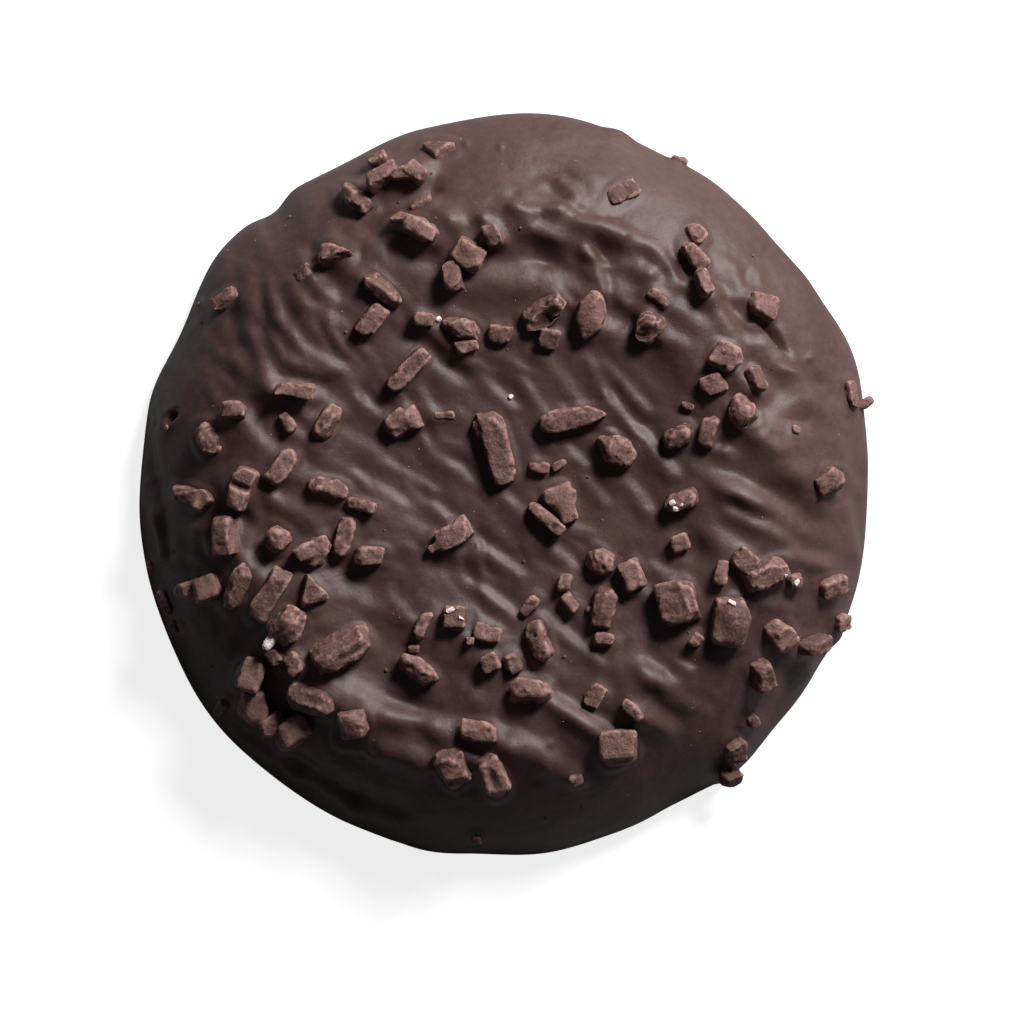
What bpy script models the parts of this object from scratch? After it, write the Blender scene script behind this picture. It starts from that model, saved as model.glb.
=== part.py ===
"""A round lebkuchen, coated in dark chocolate and strewn with chopped chocolate.

The coated biscuit is one solid. A square grid is folded onto the round plan, carried up a turned
profile, and then raised and sunk where the coating ran into lumps and hollows. Each larger chip is a
solid of its own: a block with its corners and edges split off, lying just clear of the coating.

Sizes in the tables are millimetres and degrees. X points right, Y away and Z up, and the middle of the
flat base is the origin.
"""

import math
import random

import bmesh
import bpy
import numpy as np
from mathutils import Matrix, Vector
from mathutils.bvhtree import BVHTree

MM = 0.001

RADIUS = 46.0
GRID_CELLS = 56
PROFILE_STEPS = 40
RIM_FADE_POWER = 4

# The turned profile, middle of the top to the base: distance from the axis, height.
PROFILE = (
    (0.0, 14.6),
    (13.0, 14.7),
    (23.0, 15.2),
    (29.5, 16.0),
    (33.8, 15.4),
    (37.2, 13.2),
    (40.6, 10.1),
    (43.5, 6.6),
    (45.3, 3.4),
    (45.9, 1.3),
    (46.0, 0.0),
)

# How far the rim leaves the round: direction, bulge outwards, half the stretch it covers.
RIM_WAVES = (
    (21, 0.75, 12),
    (40, -0.35, 10),
    (57, 0.3, 9),
    (82, 1.0, 20),
    (117, -0.8, 14),
    (130, -1.2, 5),
    (140, 0.3, 7),
    (155, -1.1, 13),
    (174, -0.45, 14),
    (198, 0.15, 12),
    (220, 0.85, 22),
    (243, 0.65, 18),
    (258, 0.6, 12),
    (275, 0.35, 14),
    (295, -0.8, 20),
    (308, 0.3, 6),
    (320, -0.85, 9),
    (330, -0.6, 8),
    (358, -0.45, 16),
)

# Where the coating ran together (+) or sank (-): x, y, half length, half width, turn, height.
LUMPS = (
    # the lumpy ridge along the far side
    (-7.0, 33.2, 3.0, 2.2, 10, 0.9),
    (-2.0, 32.0, 2.2, 1.8, -60, 0.7),
    (1.5, 35.4, 4.0, 1.7, -8, 0.9),
    (7.5, 35.2, 2.8, 1.6, 0, 0.7),
    (12.0, 33.2, 3.6, 1.6, -28, 1.0),
    (6.5, 30.4, 3.4, 2.0, -5, -1.1),
    (14.6, 30.0, 2.4, 1.6, -35, -1.0),
    (6.5, 37.8, 2.0, 1.5, 0, -0.5),
    (2.0, 26.4, 6.0, 3.0, 0, 0.6),
    (20.5, 33.5, 5.0, 2.2, -38, 0.4),
    # folds round the right side
    (29.5, 27.5, 3.6, 1.6, -55, 0.5),
    (33.8, 18.3, 3.0, 0.9, -50, -0.6),
    (30.3, 0.2, 4.2, 1.8, -15, 0.6),
    (35.2, -5.2, 4.0, 1.7, -35, 0.5),
    (38.4, -8.8, 3.4, 1.8, 25, 0.5),
    (29.0, -5.6, 4.4, 1.8, -25, -0.5),
    (25.2, -5.0, 4.6, 1.6, -50, 0.4),
    # folds along the near side
    (18.6, -22.8, 3.0, 1.9, -40, 0.6),
    (9.2, -28.6, 4.2, 1.6, -38, 0.5),
    (4.0, -32.4, 4.2, 2.4, -22, 0.6),
    (8.2, -34.9, 2.8, 1.8, 0, 0.5),
    (-12.0, -33.0, 3.6, 2.2, -25, 0.7),
    (-12.4, -30.2, 4.0, 1.5, -25, -0.5),
    (-17.2, -33.0, 2.2, 1.6, 0, 0.4),
    # bulges and hollows round the left shoulder
    (-38.0, -5.6, 2.6, 2.4, 0, 0.4),
    (-39.4, 13.0, 5.0, 2.0, 75, 0.35),
    (-34.0, 16.5, 4.0, 2.0, 70, -0.35),
    (-29.0, 33.4, 3.4, 1.6, 45, -0.6),
    (-24.5, 34.8, 2.6, 2.0, 30, 0.4),
    (-20.5, -13.0, 4.5, 3.5, 0, -0.25),
)

# The chips: x, y, length, width, height, turn, kind. A wedge's turn is the way that it points.
CHIPS = (
    (-8.4, 41.2, 3.3, 4.4, 1.2, 262, "wedge"),
    (-18.4, 35.3, 5.4, 2.6, 2.4, -45, "roof"),
    (-10.9, 32.0, 6.8, 2.6, 2.4, -25, "roof"),
    (-4.5, 28.7, 4.0, 3.5, 2.2, -30, "slab"),
    (-20.7, 28.6, 4.4, 2.6, 1.8, -3, "wedge"),
    (-15.3, 24.6, 6.0, 2.4, 1.9, -38, "roof"),
    (-16.7, 20.7, 4.6, 2.4, 1.7, 50, "slab"),
    (-5.3, 19.8, 5.2, 3.0, 2.0, -25, "lump"),
    (4.8, 21.8, 6.0, 3.4, 2.4, 40, "roof"),
    (10.8, 21.4, 6.2, 3.7, 2.4, 75, "lump"),
    (18.0, 19.8, 3.9, 3.4, 2.6, 60, "lump"),
    (27.6, 16.0, 4.4, 3.2, 2.2, -28, "lump"),
    (29.6, 9.3, 4.2, 3.4, 2.6, -50, "lump"),
    (21.7, 6.3, 4.2, 3.3, 2.0, 20, "lump"),
    (40.2, 0.7, 3.6, 3.1, 2.2, 40, "lump"),
    (-12.0, 14.5, 6.6, 2.2, 1.8, 48, "slab"),
    (-12.6, 7.9, 4.4, 3.0, 1.9, 205, "wedge"),
    (-0.9, 4.8, 9.2, 3.2, 2.0, -76, "slab"),
    (8.6, 8.4, 8.4, 2.8, 1.9, 8, "slab"),
    (13.9, 4.6, 5.4, 3.6, 2.6, -30, "lump"),
    (-36.7, 5.8, 4.8, 2.6, 1.9, -55, "lump"),
    (-22.1, 7.9, 4.6, 2.7, 2.0, 65, "roof"),
    (-27.8, 2.4, 4.8, 2.4, 1.7, 52, "slab"),
    (-32.6, -0.3, 5.3, 2.9, 2.2, 68, "slab"),
    (-38.9, -1.3, 5.0, 2.6, 2.0, 172, "wedge"),
    (-22.1, -0.5, 5.2, 3.1, 2.2, -12, "roof"),
    (-34.6, -6.0, 5.1, 3.2, 2.6, -86, "slab"),
    (-28.5, -6.7, 3.6, 3.1, 1.9, 30, "lump"),
    (-24.3, -7.9, 4.9, 2.0, 1.8, 27, "slab"),
    (-20.0, -6.3, 5.0, 2.2, 1.3, 80, "slab"),
    (-16.7, -8.7, 4.1, 2.4, 2.0, -2, "slab"),
    (-6.9, -6.3, 6.0, 3.1, 1.7, 211, "wedge"),
    (7.2, -2.1, 4.5, 4.1, 1.5, -66, "wedge"),
    (22.3, -1.9, 4.8, 2.6, 1.9, 22, "lump"),
    (11.9, -9.4, 4.2, 3.1, 2.2, -38, "lump"),
    (16.1, -11.3, 4.2, 2.8, 1.9, -66, "slab"),
    (12.4, -15.1, 5.1, 3.1, 2.0, 80, "roof"),
    (4.5, -19.3, 5.6, 3.1, 2.2, -72, "lump"),
    (21.7, -14.6, 5.6, 4.9, 2.6, -75, "slab"),
    (28.3, -16.9, 6.7, 3.9, 2.7, 78, "lump"),
    (32.3, -10.9, 5.7, 2.8, 2.1, 25, "slab"),
    (34.4, -18.5, 4.4, 2.5, 2.0, -52, "slab"),
    (3.3, -25.6, 5.4, 3.4, 2.6, -5, "lump"),
    (13.9, -32.5, 5.2, 3.8, 2.1, 8, "lump"),
    (-3.2, -30.4, 4.6, 2.6, 1.9, -5, "slab"),
    (-6.5, -34.7, 4.4, 3.3, 2.2, -62, "slab"),
    (-1.5, -35.9, 5.6, 3.3, 2.2, -70, "roof"),
    (-10.8, -23.0, 5.4, 2.6, 1.9, -40, "roof"),
    (-38.3, -12.8, 6.4, 3.2, 2.3, 189, "wedge"),
    (-32.9, -12.4, 6.3, 2.2, 1.9, 65, "roof"),
    (-29.0, -13.3, 7.3, 2.7, 1.5, 58, "slab"),
    (-24.3, -12.8, 4.0, 3.6, 1.9, 108, "wedge"),
    (-26.9, -17.5, 4.9, 4.0, 2.6, 45, "lump"),
    (-20.3, -20.6, 8.0, 4.1, 2.7, 28, "roof"),
    (-31.8, -23.4, 4.1, 2.6, 2.1, 66, "lump"),
    (-31.2, -27.7, 4.2, 2.7, 2.1, -78, "lump"),
    (-23.9, -26.3, 6.5, 3.3, 2.3, -15, "roof"),
    (-26.2, -30.8, 3.8, 2.6, 2.0, 30, "slab"),
    (-18.5, -29.7, 4.2, 3.7, 2.3, -80, "slab"),
)
CHIP_GAP = 0.3
FIRST_SEED = 7


def new_material(name, colour, roughness):
    material = bpy.data.materials.new(name)
    material.use_nodes = True
    shader = material.node_tree.nodes["Principled BSDF"]
    shader.inputs["Base Color"].default_value = (*colour, 1.0)
    shader.inputs["Roughness"].default_value = roughness
    shader.inputs["Metallic"].default_value = 0.0
    return material


def smooth_path(stations):
    """A Catmull-Rom curve through the stations, as distance along it from 0 to 1, and its points."""
    ends = [stations[0]] + list(stations) + [stations[-1]]
    knots = np.array(ends)
    step = np.linspace(0.0, 1.0, PROFILE_STEPS, endpoint=False)[:, None]
    pieces = []
    for before, start, finish, after in zip(knots, knots[1:], knots[2:], knots[3:]):
        leave = (finish - before) / 2
        arrive = (after - start) / 2
        pieces.append(
            start * (1 - step) ** 2 * (1 + 2 * step)
            + finish * step**2 * (3 - 2 * step)
            + leave * step * (1 - step) ** 2
            - arrive * step**2 * (1 - step)
        )
    points = np.vstack(pieces + [knots[-1:]])
    along = np.concatenate([[0.0], np.cumsum(np.linalg.norm(np.diff(points, axis=0), axis=1))])
    return along / along[-1], points


def folded_square(a, b):
    """A square's points, -1 to 1 each way, as distance from the middle and turn on a round plan."""
    flat = np.abs(a) >= np.abs(b)
    reach = np.where(flat, a, b)
    share = np.where(flat, b, a) / np.where(reach == 0, 1, reach)
    turn = np.where(flat, share * math.pi / 4, math.pi / 2 - share * math.pi / 4)
    turn = np.where(reach < 0, turn + math.pi, turn)
    return np.abs(reach), turn


def rim_offset(turn):
    """How far the rim lies outside the round at these turns."""
    total = np.zeros_like(turn)
    for direction, bulge, half in RIM_WAVES:
        away = (np.degrees(turn) - direction + 180) % 360 - 180
        total += bulge * np.cos(np.clip(away / half, -1, 1) * math.pi / 2) ** 2
    return total


def relief(x, y):
    """The height of the coating's lumps and hollows at these places."""
    total = np.zeros_like(x)
    for centre_x, centre_y, half_length, half_width, turn, height in LUMPS:
        angle = math.radians(turn)
        along = (x - centre_x) * math.cos(angle) + (y - centre_y) * math.sin(angle)
        across = (y - centre_y) * math.cos(angle) - (x - centre_x) * math.sin(angle)
        total += height * np.exp(-((along / half_length) ** 2) - (across / half_width) ** 2)
    return total


def coating_points(a, b):
    """Places on the coating, in millimetres, for a square's points."""
    reach, turn = folded_square(a, b)
    along, profile = smooth_path(PROFILE)
    across = np.interp(reach, along, profile[:, 0])
    up = np.interp(reach, along, profile[:, 1])
    radius = across + rim_offset(turn) * (across / RADIUS) ** RIM_FADE_POWER
    x = radius * np.cos(turn)
    y = radius * np.sin(turn)
    # The relief dies away towards the foot, so that the base stays flat.
    z = up + relief(x, y) * np.clip(up / PROFILE[6][1], 0, 1)
    return np.stack([x, y, z], axis=1)


def make_coated_biscuit(collection, material):
    body = bmesh.new()
    bmesh.ops.create_grid(body, x_segments=GRID_CELLS, y_segments=GRID_CELLS, size=1.0)
    flat = np.array([vert.co for vert in body.verts])
    for vert, place in zip(body.verts, coating_points(flat[:, 0], flat[:, 1])):
        vert.co = Vector(place) * MM
    rim = [edge for edge in body.edges if edge.is_boundary]
    bmesh.ops.edgeloop_fill(body, edges=rim)
    bmesh.ops.recalc_face_normals(body, faces=body.faces)
    mesh = bpy.data.meshes.new("coated_biscuit")
    body.to_mesh(mesh)
    body.free()
    mesh.shade_smooth()
    mesh.set_sharp_from_angle(angle=math.radians(50))
    mesh.materials.append(material)
    biscuit = bpy.data.objects.new("coated_biscuit", mesh)
    collection.objects.link(biscuit)
    return biscuit


def split_off(chip, distance, *normal):
    """Break away what lies further out than this along the normal, leaving one flat face."""
    outwards = Vector(normal).normalized()
    split = bmesh.ops.bisect_plane(
        chip,
        geom=chip.verts[:] + chip.edges[:] + chip.faces[:],
        dist=1e-5,
        plane_co=outwards * distance,
        plane_no=outwards,
        clear_outer=True,
    )
    rim = [piece for piece in split["geom_cut"] if isinstance(piece, bmesh.types.BMEdge)]
    if rim:
        bmesh.ops.edgeloop_fill(chip, edges=rim)


def break_slab(chip, chance):
    """A flat piece: two corners gone, the top's edges worn, the ends not quite square."""
    for corner in chance.sample((45, 135, 225, 315), 2):
        angle = math.radians(corner + chance.uniform(-22, 22))
        split_off(chip, chance.uniform(0.52, 0.6), math.cos(angle), math.sin(angle), chance.uniform(0, 0.3))
    for side in (0, 90, 180, 270):
        angle = math.radians(side + chance.uniform(-14, 14))
        split_off(chip, chance.uniform(0.58, 0.64), math.cos(angle), math.sin(angle), 0.9)
    split_off(chip, 0.46, chance.uniform(-0.12, 0.12), chance.uniform(-0.12, 0.12), 1)


def break_wedge(chip, chance):
    """A flat piece that narrows towards +X."""
    blunt = chance.uniform(0.22, 0.3)
    for side in (-1, 1):
        split_off(chip, blunt + chance.uniform(-0.03, 0.05), 0.62, side, 0.12)
    for side in (70, 180, 290):
        angle = math.radians(side + chance.uniform(-15, 15))
        split_off(chip, chance.uniform(0.5, 0.56), math.cos(angle), math.sin(angle), 1.0)
    split_off(chip, 0.45, chance.uniform(-0.2, 0.1), chance.uniform(-0.15, 0.15), 1)


def break_roof(chip, chance):
    """A long piece with a ridge that runs off its middle, and slanting ends."""
    lean = chance.choice((-1, 1))
    split_off(chip, 0.3, chance.uniform(-0.12, 0.12), lean * 1.15, 0.9)
    split_off(chip, 0.38, chance.uniform(-0.12, 0.12), -lean * 0.5, 0.9)
    for end in (-1, 1):
        split_off(chip, chance.uniform(0.44, 0.5), end, chance.uniform(-0.35, 0.35), chance.uniform(0.3, 0.7))
    for corner in (40, 140, 220, 320):
        angle = math.radians(corner + chance.uniform(-12, 12))
        split_off(chip, chance.uniform(0.48, 0.56), math.cos(angle), math.sin(angle), 0.1)


def break_lump(chip, chance):
    """A rounded piece with broken faces all round, steep ones below and flatter ones above."""
    start = chance.uniform(0, 60)
    for step in range(6):
        angle = math.radians(start + 60 * step + chance.uniform(-16, 16))
        split_off(chip, chance.uniform(0.43, 0.5), math.cos(angle), math.sin(angle), chance.uniform(-0.1, 0.3))
    for step in range(4):
        angle = math.radians(start + 90 * step + chance.uniform(-22, 22))
        split_off(chip, chance.uniform(0.44, 0.52), math.cos(angle), math.sin(angle), chance.uniform(0.9, 1.5))


BREAKS = {"slab": break_slab, "wedge": break_wedge, "roof": break_roof, "lump": break_lump}


def fit_block(chip, size):
    """Stretch the broken block to its length, width and height, its underside at zero."""
    places = np.array([vert.co for vert in chip.verts])
    low = places.min(axis=0)
    high = places.max(axis=0)
    shift = Vector(((low[0] + high[0]) / 2, (low[1] + high[1]) / 2, low[2]))
    stretch = [side * MM / span for side, span in zip(size, high - low)]
    for vert in chip.verts:
        vert.co = Vector(a * b for a, b in zip(vert.co - shift, stretch))


def underside_samples(mesh):
    """The underside's corners and the middles between them, in the chip's own frame."""
    corners = [vert.co.copy() for vert in mesh.vertices if vert.co.z < 0.01 * MM]
    middles = [(first + second) / 2 for first in corners for second in corners]
    return middles + [vert.co.copy() for vert in mesh.vertices]


def clearance(surface, point):
    """How far the point lies outside the coating."""
    nearest, outwards, _, distance = surface.find_nearest(point)
    return math.copysign(distance, (point - nearest).dot(outwards))


def seat(chip, surface, x, y, turn):
    """Lay the chip along the coating's slope and bring its nearest point to one gap off it."""
    start, outwards, _, _ = surface.ray_cast(Vector((x, y, 30.0)) * MM, Vector((0, 0, -1)))
    # The slope is averaged over a few places under the chip.
    slope = Vector(outwards)
    for step in range(8):
        angle = math.radians(45 * step)
        beside = Vector((x + 1.6 * math.cos(angle), y + 1.6 * math.sin(angle), 30.0)) * MM
        _, normal, _, _ = surface.ray_cast(beside, Vector((0, 0, -1)))
        slope += normal if normal else Vector((0, 0, 0))
    slope.normalize()
    lay = Vector((0, 0, 1)).rotation_difference(slope).to_matrix().to_4x4()
    spin = Matrix.Rotation(math.radians(turn), 4, "Z")
    place = Matrix.Translation(start) @ lay @ spin
    samples = underside_samples(chip.data)
    for _ in range(6):
        nearest = min(clearance(surface, place @ point) for point in samples)
        place = Matrix.Translation(slope * (CHIP_GAP * MM - nearest)) @ place
    chip.matrix_world = place


def make_chip(collection, material, surface, number, row):
    x, y, length, width, height, turn, kind = row
    block = bmesh.new()
    bmesh.ops.create_cube(block, size=1.0)
    BREAKS[kind](block, random.Random(FIRST_SEED + number))
    fit_block(block, (length, width, height))
    bmesh.ops.recalc_face_normals(block, faces=block.faces)
    name = f"{kind}_chip_{number:02d}"
    mesh = bpy.data.meshes.new(name)
    block.to_mesh(mesh)
    block.free()
    mesh.materials.append(material)
    chip = bpy.data.objects.new(name, mesh)
    collection.objects.link(chip)
    seat(chip, surface, x, y, turn)
    return chip


def main():
    for obj in list(bpy.data.objects):
        bpy.data.objects.remove(obj, do_unlink=True)
    collection = bpy.data.collections.new("lebkuchen")
    bpy.context.scene.collection.children.link(collection)
    coating = new_material("dark_chocolate_coating", (0.050, 0.030, 0.028), 0.38)
    chopped = new_material("chopped_dark_chocolate", (0.085, 0.045, 0.038), 0.62)
    centre = bpy.data.objects.new("middle_of_the_base", None)
    collection.objects.link(centre)
    biscuit = make_coated_biscuit(collection, coating)
    biscuit.parent = centre
    bpy.context.view_layer.update()
    surface = BVHTree.FromObject(biscuit, bpy.context.evaluated_depsgraph_get())
    for number, row in enumerate(CHIPS, start=1):
        make_chip(collection, chopped, surface, number, row).parent = centre


main()
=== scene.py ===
# %% [markdown]
# # A lebkuchen coated in dark chocolate
# A soft round gingerbread has been run through a curtain of melted chocolate. An air knife blew the
# coating into ripples, and before it set it was strewn with chopped chocolate. The lesson starts with
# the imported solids, which say where everything is, and builds the finished look round them.

# %% Load the frame
import itertools
import math
import random

import bmesh
import bpy
import numpy as np
from mathutils import Matrix, Vector, noise
from mathutils.bvhtree import BVHTree


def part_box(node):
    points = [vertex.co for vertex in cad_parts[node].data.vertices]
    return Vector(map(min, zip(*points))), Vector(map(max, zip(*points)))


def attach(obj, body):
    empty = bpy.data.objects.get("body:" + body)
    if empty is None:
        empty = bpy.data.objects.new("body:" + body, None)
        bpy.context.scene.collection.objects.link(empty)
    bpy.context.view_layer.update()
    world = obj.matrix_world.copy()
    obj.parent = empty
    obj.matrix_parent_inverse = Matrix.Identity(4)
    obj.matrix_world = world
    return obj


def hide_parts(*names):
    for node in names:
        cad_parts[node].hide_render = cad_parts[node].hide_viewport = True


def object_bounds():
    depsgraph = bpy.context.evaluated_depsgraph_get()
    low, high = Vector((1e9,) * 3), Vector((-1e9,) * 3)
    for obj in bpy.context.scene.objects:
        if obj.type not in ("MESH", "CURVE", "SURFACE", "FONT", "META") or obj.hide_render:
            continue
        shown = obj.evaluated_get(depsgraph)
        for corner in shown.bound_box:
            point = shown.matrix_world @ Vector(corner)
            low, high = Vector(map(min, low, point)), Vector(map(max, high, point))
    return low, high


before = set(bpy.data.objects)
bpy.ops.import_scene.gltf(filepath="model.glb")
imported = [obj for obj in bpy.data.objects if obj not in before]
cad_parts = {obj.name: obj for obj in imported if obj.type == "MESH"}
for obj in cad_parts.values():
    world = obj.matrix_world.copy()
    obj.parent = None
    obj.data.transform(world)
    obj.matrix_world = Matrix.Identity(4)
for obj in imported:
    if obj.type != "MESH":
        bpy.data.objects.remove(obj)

CAD_LOW, CAD_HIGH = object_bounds()
MM = 0.001
BISCUIT_LOW, BISCUIT_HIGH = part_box("coated_biscuit")
print("nodes", len(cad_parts))
for part, sides in (("whole", CAD_HIGH - CAD_LOW), ("biscuit alone", BISCUIT_HIGH - BISCUIT_LOW)):
    print(part, "in mm", [round(side / MM, 1) for side in sides])

# %% [markdown]
# ## Camera
# A biscuit this flat is shown best from straight above. A long lens from far away keeps its sides from
# leaning outwards, as a short lens close to it would make them do.

# %% Look straight down
LENS = 800.0
SENSOR = 36.0
SEEN_WIDTH = 0.128
LOOKS_AT = Vector((0.00094, -0.00325, 0.008))
CLIPPED = (0.1, 20.0)


def placed(name, data):
    """A new object for this data, linked to the scene."""
    made = bpy.data.objects.new(name, data)
    bpy.context.scene.collection.objects.link(made)
    return made


camera = placed("camera_above", bpy.data.cameras.new("camera_above"))
camera.data.lens = LENS
camera.data.sensor_width = SENSOR
camera.data.clip_start, camera.data.clip_end = CLIPPED
camera.location = LOOKS_AT + Vector((0, 0, SEEN_WIDTH * LENS / SENSOR))
bpy.context.scene.camera = camera
print("camera height in m", round(camera.location.z, 2))

# %% [markdown]
# ## Light and floor
# One soft window lights the biscuit from the upper right. A second, lower light from the same side
# stands for the bright wall under that window. It only grazes the top, which gives every ripple a bright
# and a dark flank. The floor is a pale sheet that glows a little by itself, as a light table does, which
# keeps its shadow faint.

# %% Two soft lights from one side and a weak sky
LIT_TURN = 54.0
LIGHT_AWAY = 0.8
# Height above the floor in degrees, width and height in metres, and power of each light.
LIGHTS = {"window": (39.0, 0.23, 0.23, 9.0), "bright_wall": (12.0, 0.5, 0.16, 5.0)}
SKY = {"Color": (0.93, 0.96, 1.0, 1.0), "Strength": 0.058}


def direction(turn, height):
    """The unit vector that points at this turn from +X and this height above the horizon."""
    turn, height = math.radians(turn), math.radians(height)
    flat = math.cos(height)
    return Vector((flat * math.cos(turn), flat * math.sin(turn), math.sin(height)))


for name, (height, wide, tall, power) in LIGHTS.items():
    light = placed(name, bpy.data.lights.new(name, "AREA"))
    light.data.shape = "RECTANGLE"
    light.data.size = wide
    light.data.size_y = tall
    light.data.energy = power
    light.location = direction(LIT_TURN, height) * LIGHT_AWAY
    light.rotation_euler = direction(LIT_TURN, height).to_track_quat("Z", "Y").to_euler()
    light.visible_camera = False

sky = bpy.data.worlds.new("sky")
sky.use_nodes = True
for socket, value in SKY.items():
    sky.node_tree.nodes["Background"].inputs[socket].default_value = value
bpy.context.scene.world = sky
bpy.context.scene.view_settings.view_transform = "Standard"
print("lit from", LIT_TURN, "degrees by", list(LIGHTS))

# %% A pale floor
FLOOR_SIDE = 12.0
FLOOR_GLOW = 0.82
FLOOR_LOOKS = {
    "Base Color": (0.42, 0.42, 0.42, 1.0),
    "Roughness": 0.9,
    "Specular IOR Level": 0.0,
    "Emission Color": (1.0, 1.0, 1.0, 1.0),
}

floor_mesh = bpy.data.meshes.new("floor")
half = FLOOR_SIDE / 2
corners = [(-half, -half, 0), (half, -half, 0), (half, half, 0), (-half, half, 0)]
floor_mesh.from_pydata(corners, [], [(0, 1, 2, 3)])
floor = placed("floor", floor_mesh)
pale = bpy.data.materials.new("pale_floor")
pale.use_nodes = True
pale_shader = pale.node_tree.nodes["Principled BSDF"]
for socket, value in FLOOR_LOOKS.items():
    pale_shader.inputs[socket].default_value = value
seen = pale.node_tree.nodes.new("ShaderNodeLightPath")
glow = pale.node_tree.nodes.new("ShaderNodeMath")
glow.operation = "MULTIPLY"
glow.inputs[1].default_value = FLOOR_GLOW
pale.node_tree.links.new(seen.outputs["Is Camera Ray"], glow.inputs[0])
pale.node_tree.links.new(glow.outputs[0], pale_shader.inputs["Emission Strength"])
floor_mesh.materials.append(pale)
print("floor side in m", FLOOR_SIDE)

# %% [markdown]
# ## The coating: its cage
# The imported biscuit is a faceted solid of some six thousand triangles. A merged copy of it, with its
# triangles joined into four-sided faces again, makes a good cage for Catmull-Clark subdivision, which
# rounds the facets away. The base is left out of the cage, because one face with hundreds of corners
# would subdivide badly. It gets rings of its own at the end.

# %% A merged copy of a node
MERGE_WITHIN = 1e-6


def merged_copy(node_name):
    """A node's mesh with its loose triangles joined at their corners, in millimetres."""
    shape = bmesh.new()
    shape.from_mesh(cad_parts[node_name].data)
    bmesh.ops.remove_doubles(shape, verts=shape.verts, dist=MERGE_WITHIN)
    bmesh.ops.scale(shape, vec=(1 / MM, 1 / MM, 1 / MM), verts=shape.verts)
    return shape


# %% The cage of the coating
# A face of the base looks straight down, at most this high above the floor.
LOOKS_DOWN = -0.99
BASE_WITHIN = 0.05
WIDEST_JOIN = math.radians(80)
ROUNDING_LEVELS = 2


def in_base(face):
    return face.normal.z < LOOKS_DOWN and face.calc_center_median().z < BASE_WITHIN


def coating_cage():
    """The biscuit's skin in four-sided faces, open where it stands on its flat base."""
    cage = merged_copy("coated_biscuit")
    bmesh.ops.delete(cage, geom=[face for face in cage.faces if in_base(face)], context="FACES")
    bmesh.ops.join_triangles(
        cage, faces=cage.faces, angle_face_threshold=WIDEST_JOIN, angle_shape_threshold=WIDEST_JOIN
    )
    return cage


def mesh_after_modifiers(made):
    return bpy.data.meshes.new_from_object(made.evaluated_get(bpy.context.evaluated_depsgraph_get()))


def modified(shape, kind, **settings):
    """The shape as a plain mesh, after one modifier of this kind."""
    mesh = bpy.data.meshes.new("helper")
    shape.to_mesh(mesh)
    shape.free()
    helper = placed("helper", mesh)
    modifier = helper.modifiers.new("helper", kind)
    for setting, value in settings.items():
        setattr(modifier, setting, value)
    changed = mesh_after_modifiers(helper)
    bpy.data.objects.remove(helper)
    bpy.data.meshes.remove(mesh)
    return changed


def points_of(mesh):
    places = np.empty(len(mesh.vertices) * 3)
    mesh.vertices.foreach_get("co", places)
    return places.reshape(-1, 3)


def surface_of(*meshes, scale=1.0):
    """A surface to cast rays at, made of these meshes."""
    corners, faces = [], []
    for mesh in meshes:
        first = len(corners)
        corners += [Vector(place) * scale for place in points_of(mesh)]
        faces += [[first + corner for corner in face.vertices] for face in mesh.polygons]
    return BVHTree.FromPolygons(corners, faces)


rounded = modified(coating_cage(), "SUBSURF", levels=ROUNDING_LEVELS, render_levels=ROUNDING_LEVELS)
rounded_surface = surface_of(rounded)
print("rounded skin faces", len(rounded.polygons))

# %% [markdown]
# ## The coating: a finer net
# The ripples need points closer together than the rounded skin has. A square net of evenly spaced
# lines is folded into a round one, and every point of it is shot outwards from inside the biscuit until
# it meets the rounded skin. The net stays in rows and columns, which makes it easy to smooth.

# %% A folded net on the rounded skin
NET_CELLS = 300
INSIDE = Vector((0.0, 0.0, 3.0))
# The lowest ray passes this high above the floor, this far out.
FOOT_HEIGHT = 0.25
FOOT_AWAY = 46.0
LOWEST_AIM = math.atan2(FOOT_HEIGHT - INSIDE.z, FOOT_AWAY)
PROFILE_SHOTS = 160
PROFILE_TURNS = 30
EVENING_ROUNDS = 3


def shot(turn, aim):
    """Where a ray from inside meets the rounded skin."""
    flat = math.cos(aim)
    way = Vector((flat * math.cos(turn), flat * math.sin(turn), math.sin(aim)))
    return rounded_surface.ray_cast(INSIDE, way)[0]


def even_aims():
    """Shares of the way from the middle of the top to the foot, and the aim that reaches each."""
    aims = np.linspace(math.pi / 2, LOWEST_AIM, PROFILE_SHOTS)
    turns = np.linspace(0, math.tau, PROFILE_TURNS, endpoint=False)
    reach = np.array([np.mean([(shot(turn, aim) - INSIDE).length for turn in turns]) for aim in aims])
    path = np.stack([reach * np.cos(aims), reach * np.sin(aims)], axis=1)
    gone = np.concatenate([[0.0], np.cumsum(np.linalg.norm(np.diff(path, axis=0), axis=1))])
    return gone / gone[-1], aims


def folded_square(a, b):
    """A square's points, -1 to 1 each way, as distance from the middle and turn on a round plan."""
    flat = np.abs(a) >= np.abs(b)
    reach = np.where(flat, a, b)
    share = np.where(flat, b, a) / np.where(reach == 0, 1, reach)
    turn = np.where(flat, share * math.pi / 4, math.pi / 2 - share * math.pi / 4)
    return np.abs(reach), np.where(reach < 0, turn + math.pi, turn)


def evened(net, rounds):
    """Moves each inner point halfway to the mean of its four neighbours."""
    for _ in range(rounds):
        near = (net[2:, 1:-1] + net[:-2, 1:-1] + net[1:-1, 2:] + net[1:-1, :-2]) / 4
        net[1:-1, 1:-1] += 0.5 * (near - net[1:-1, 1:-1])
    return net


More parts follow.
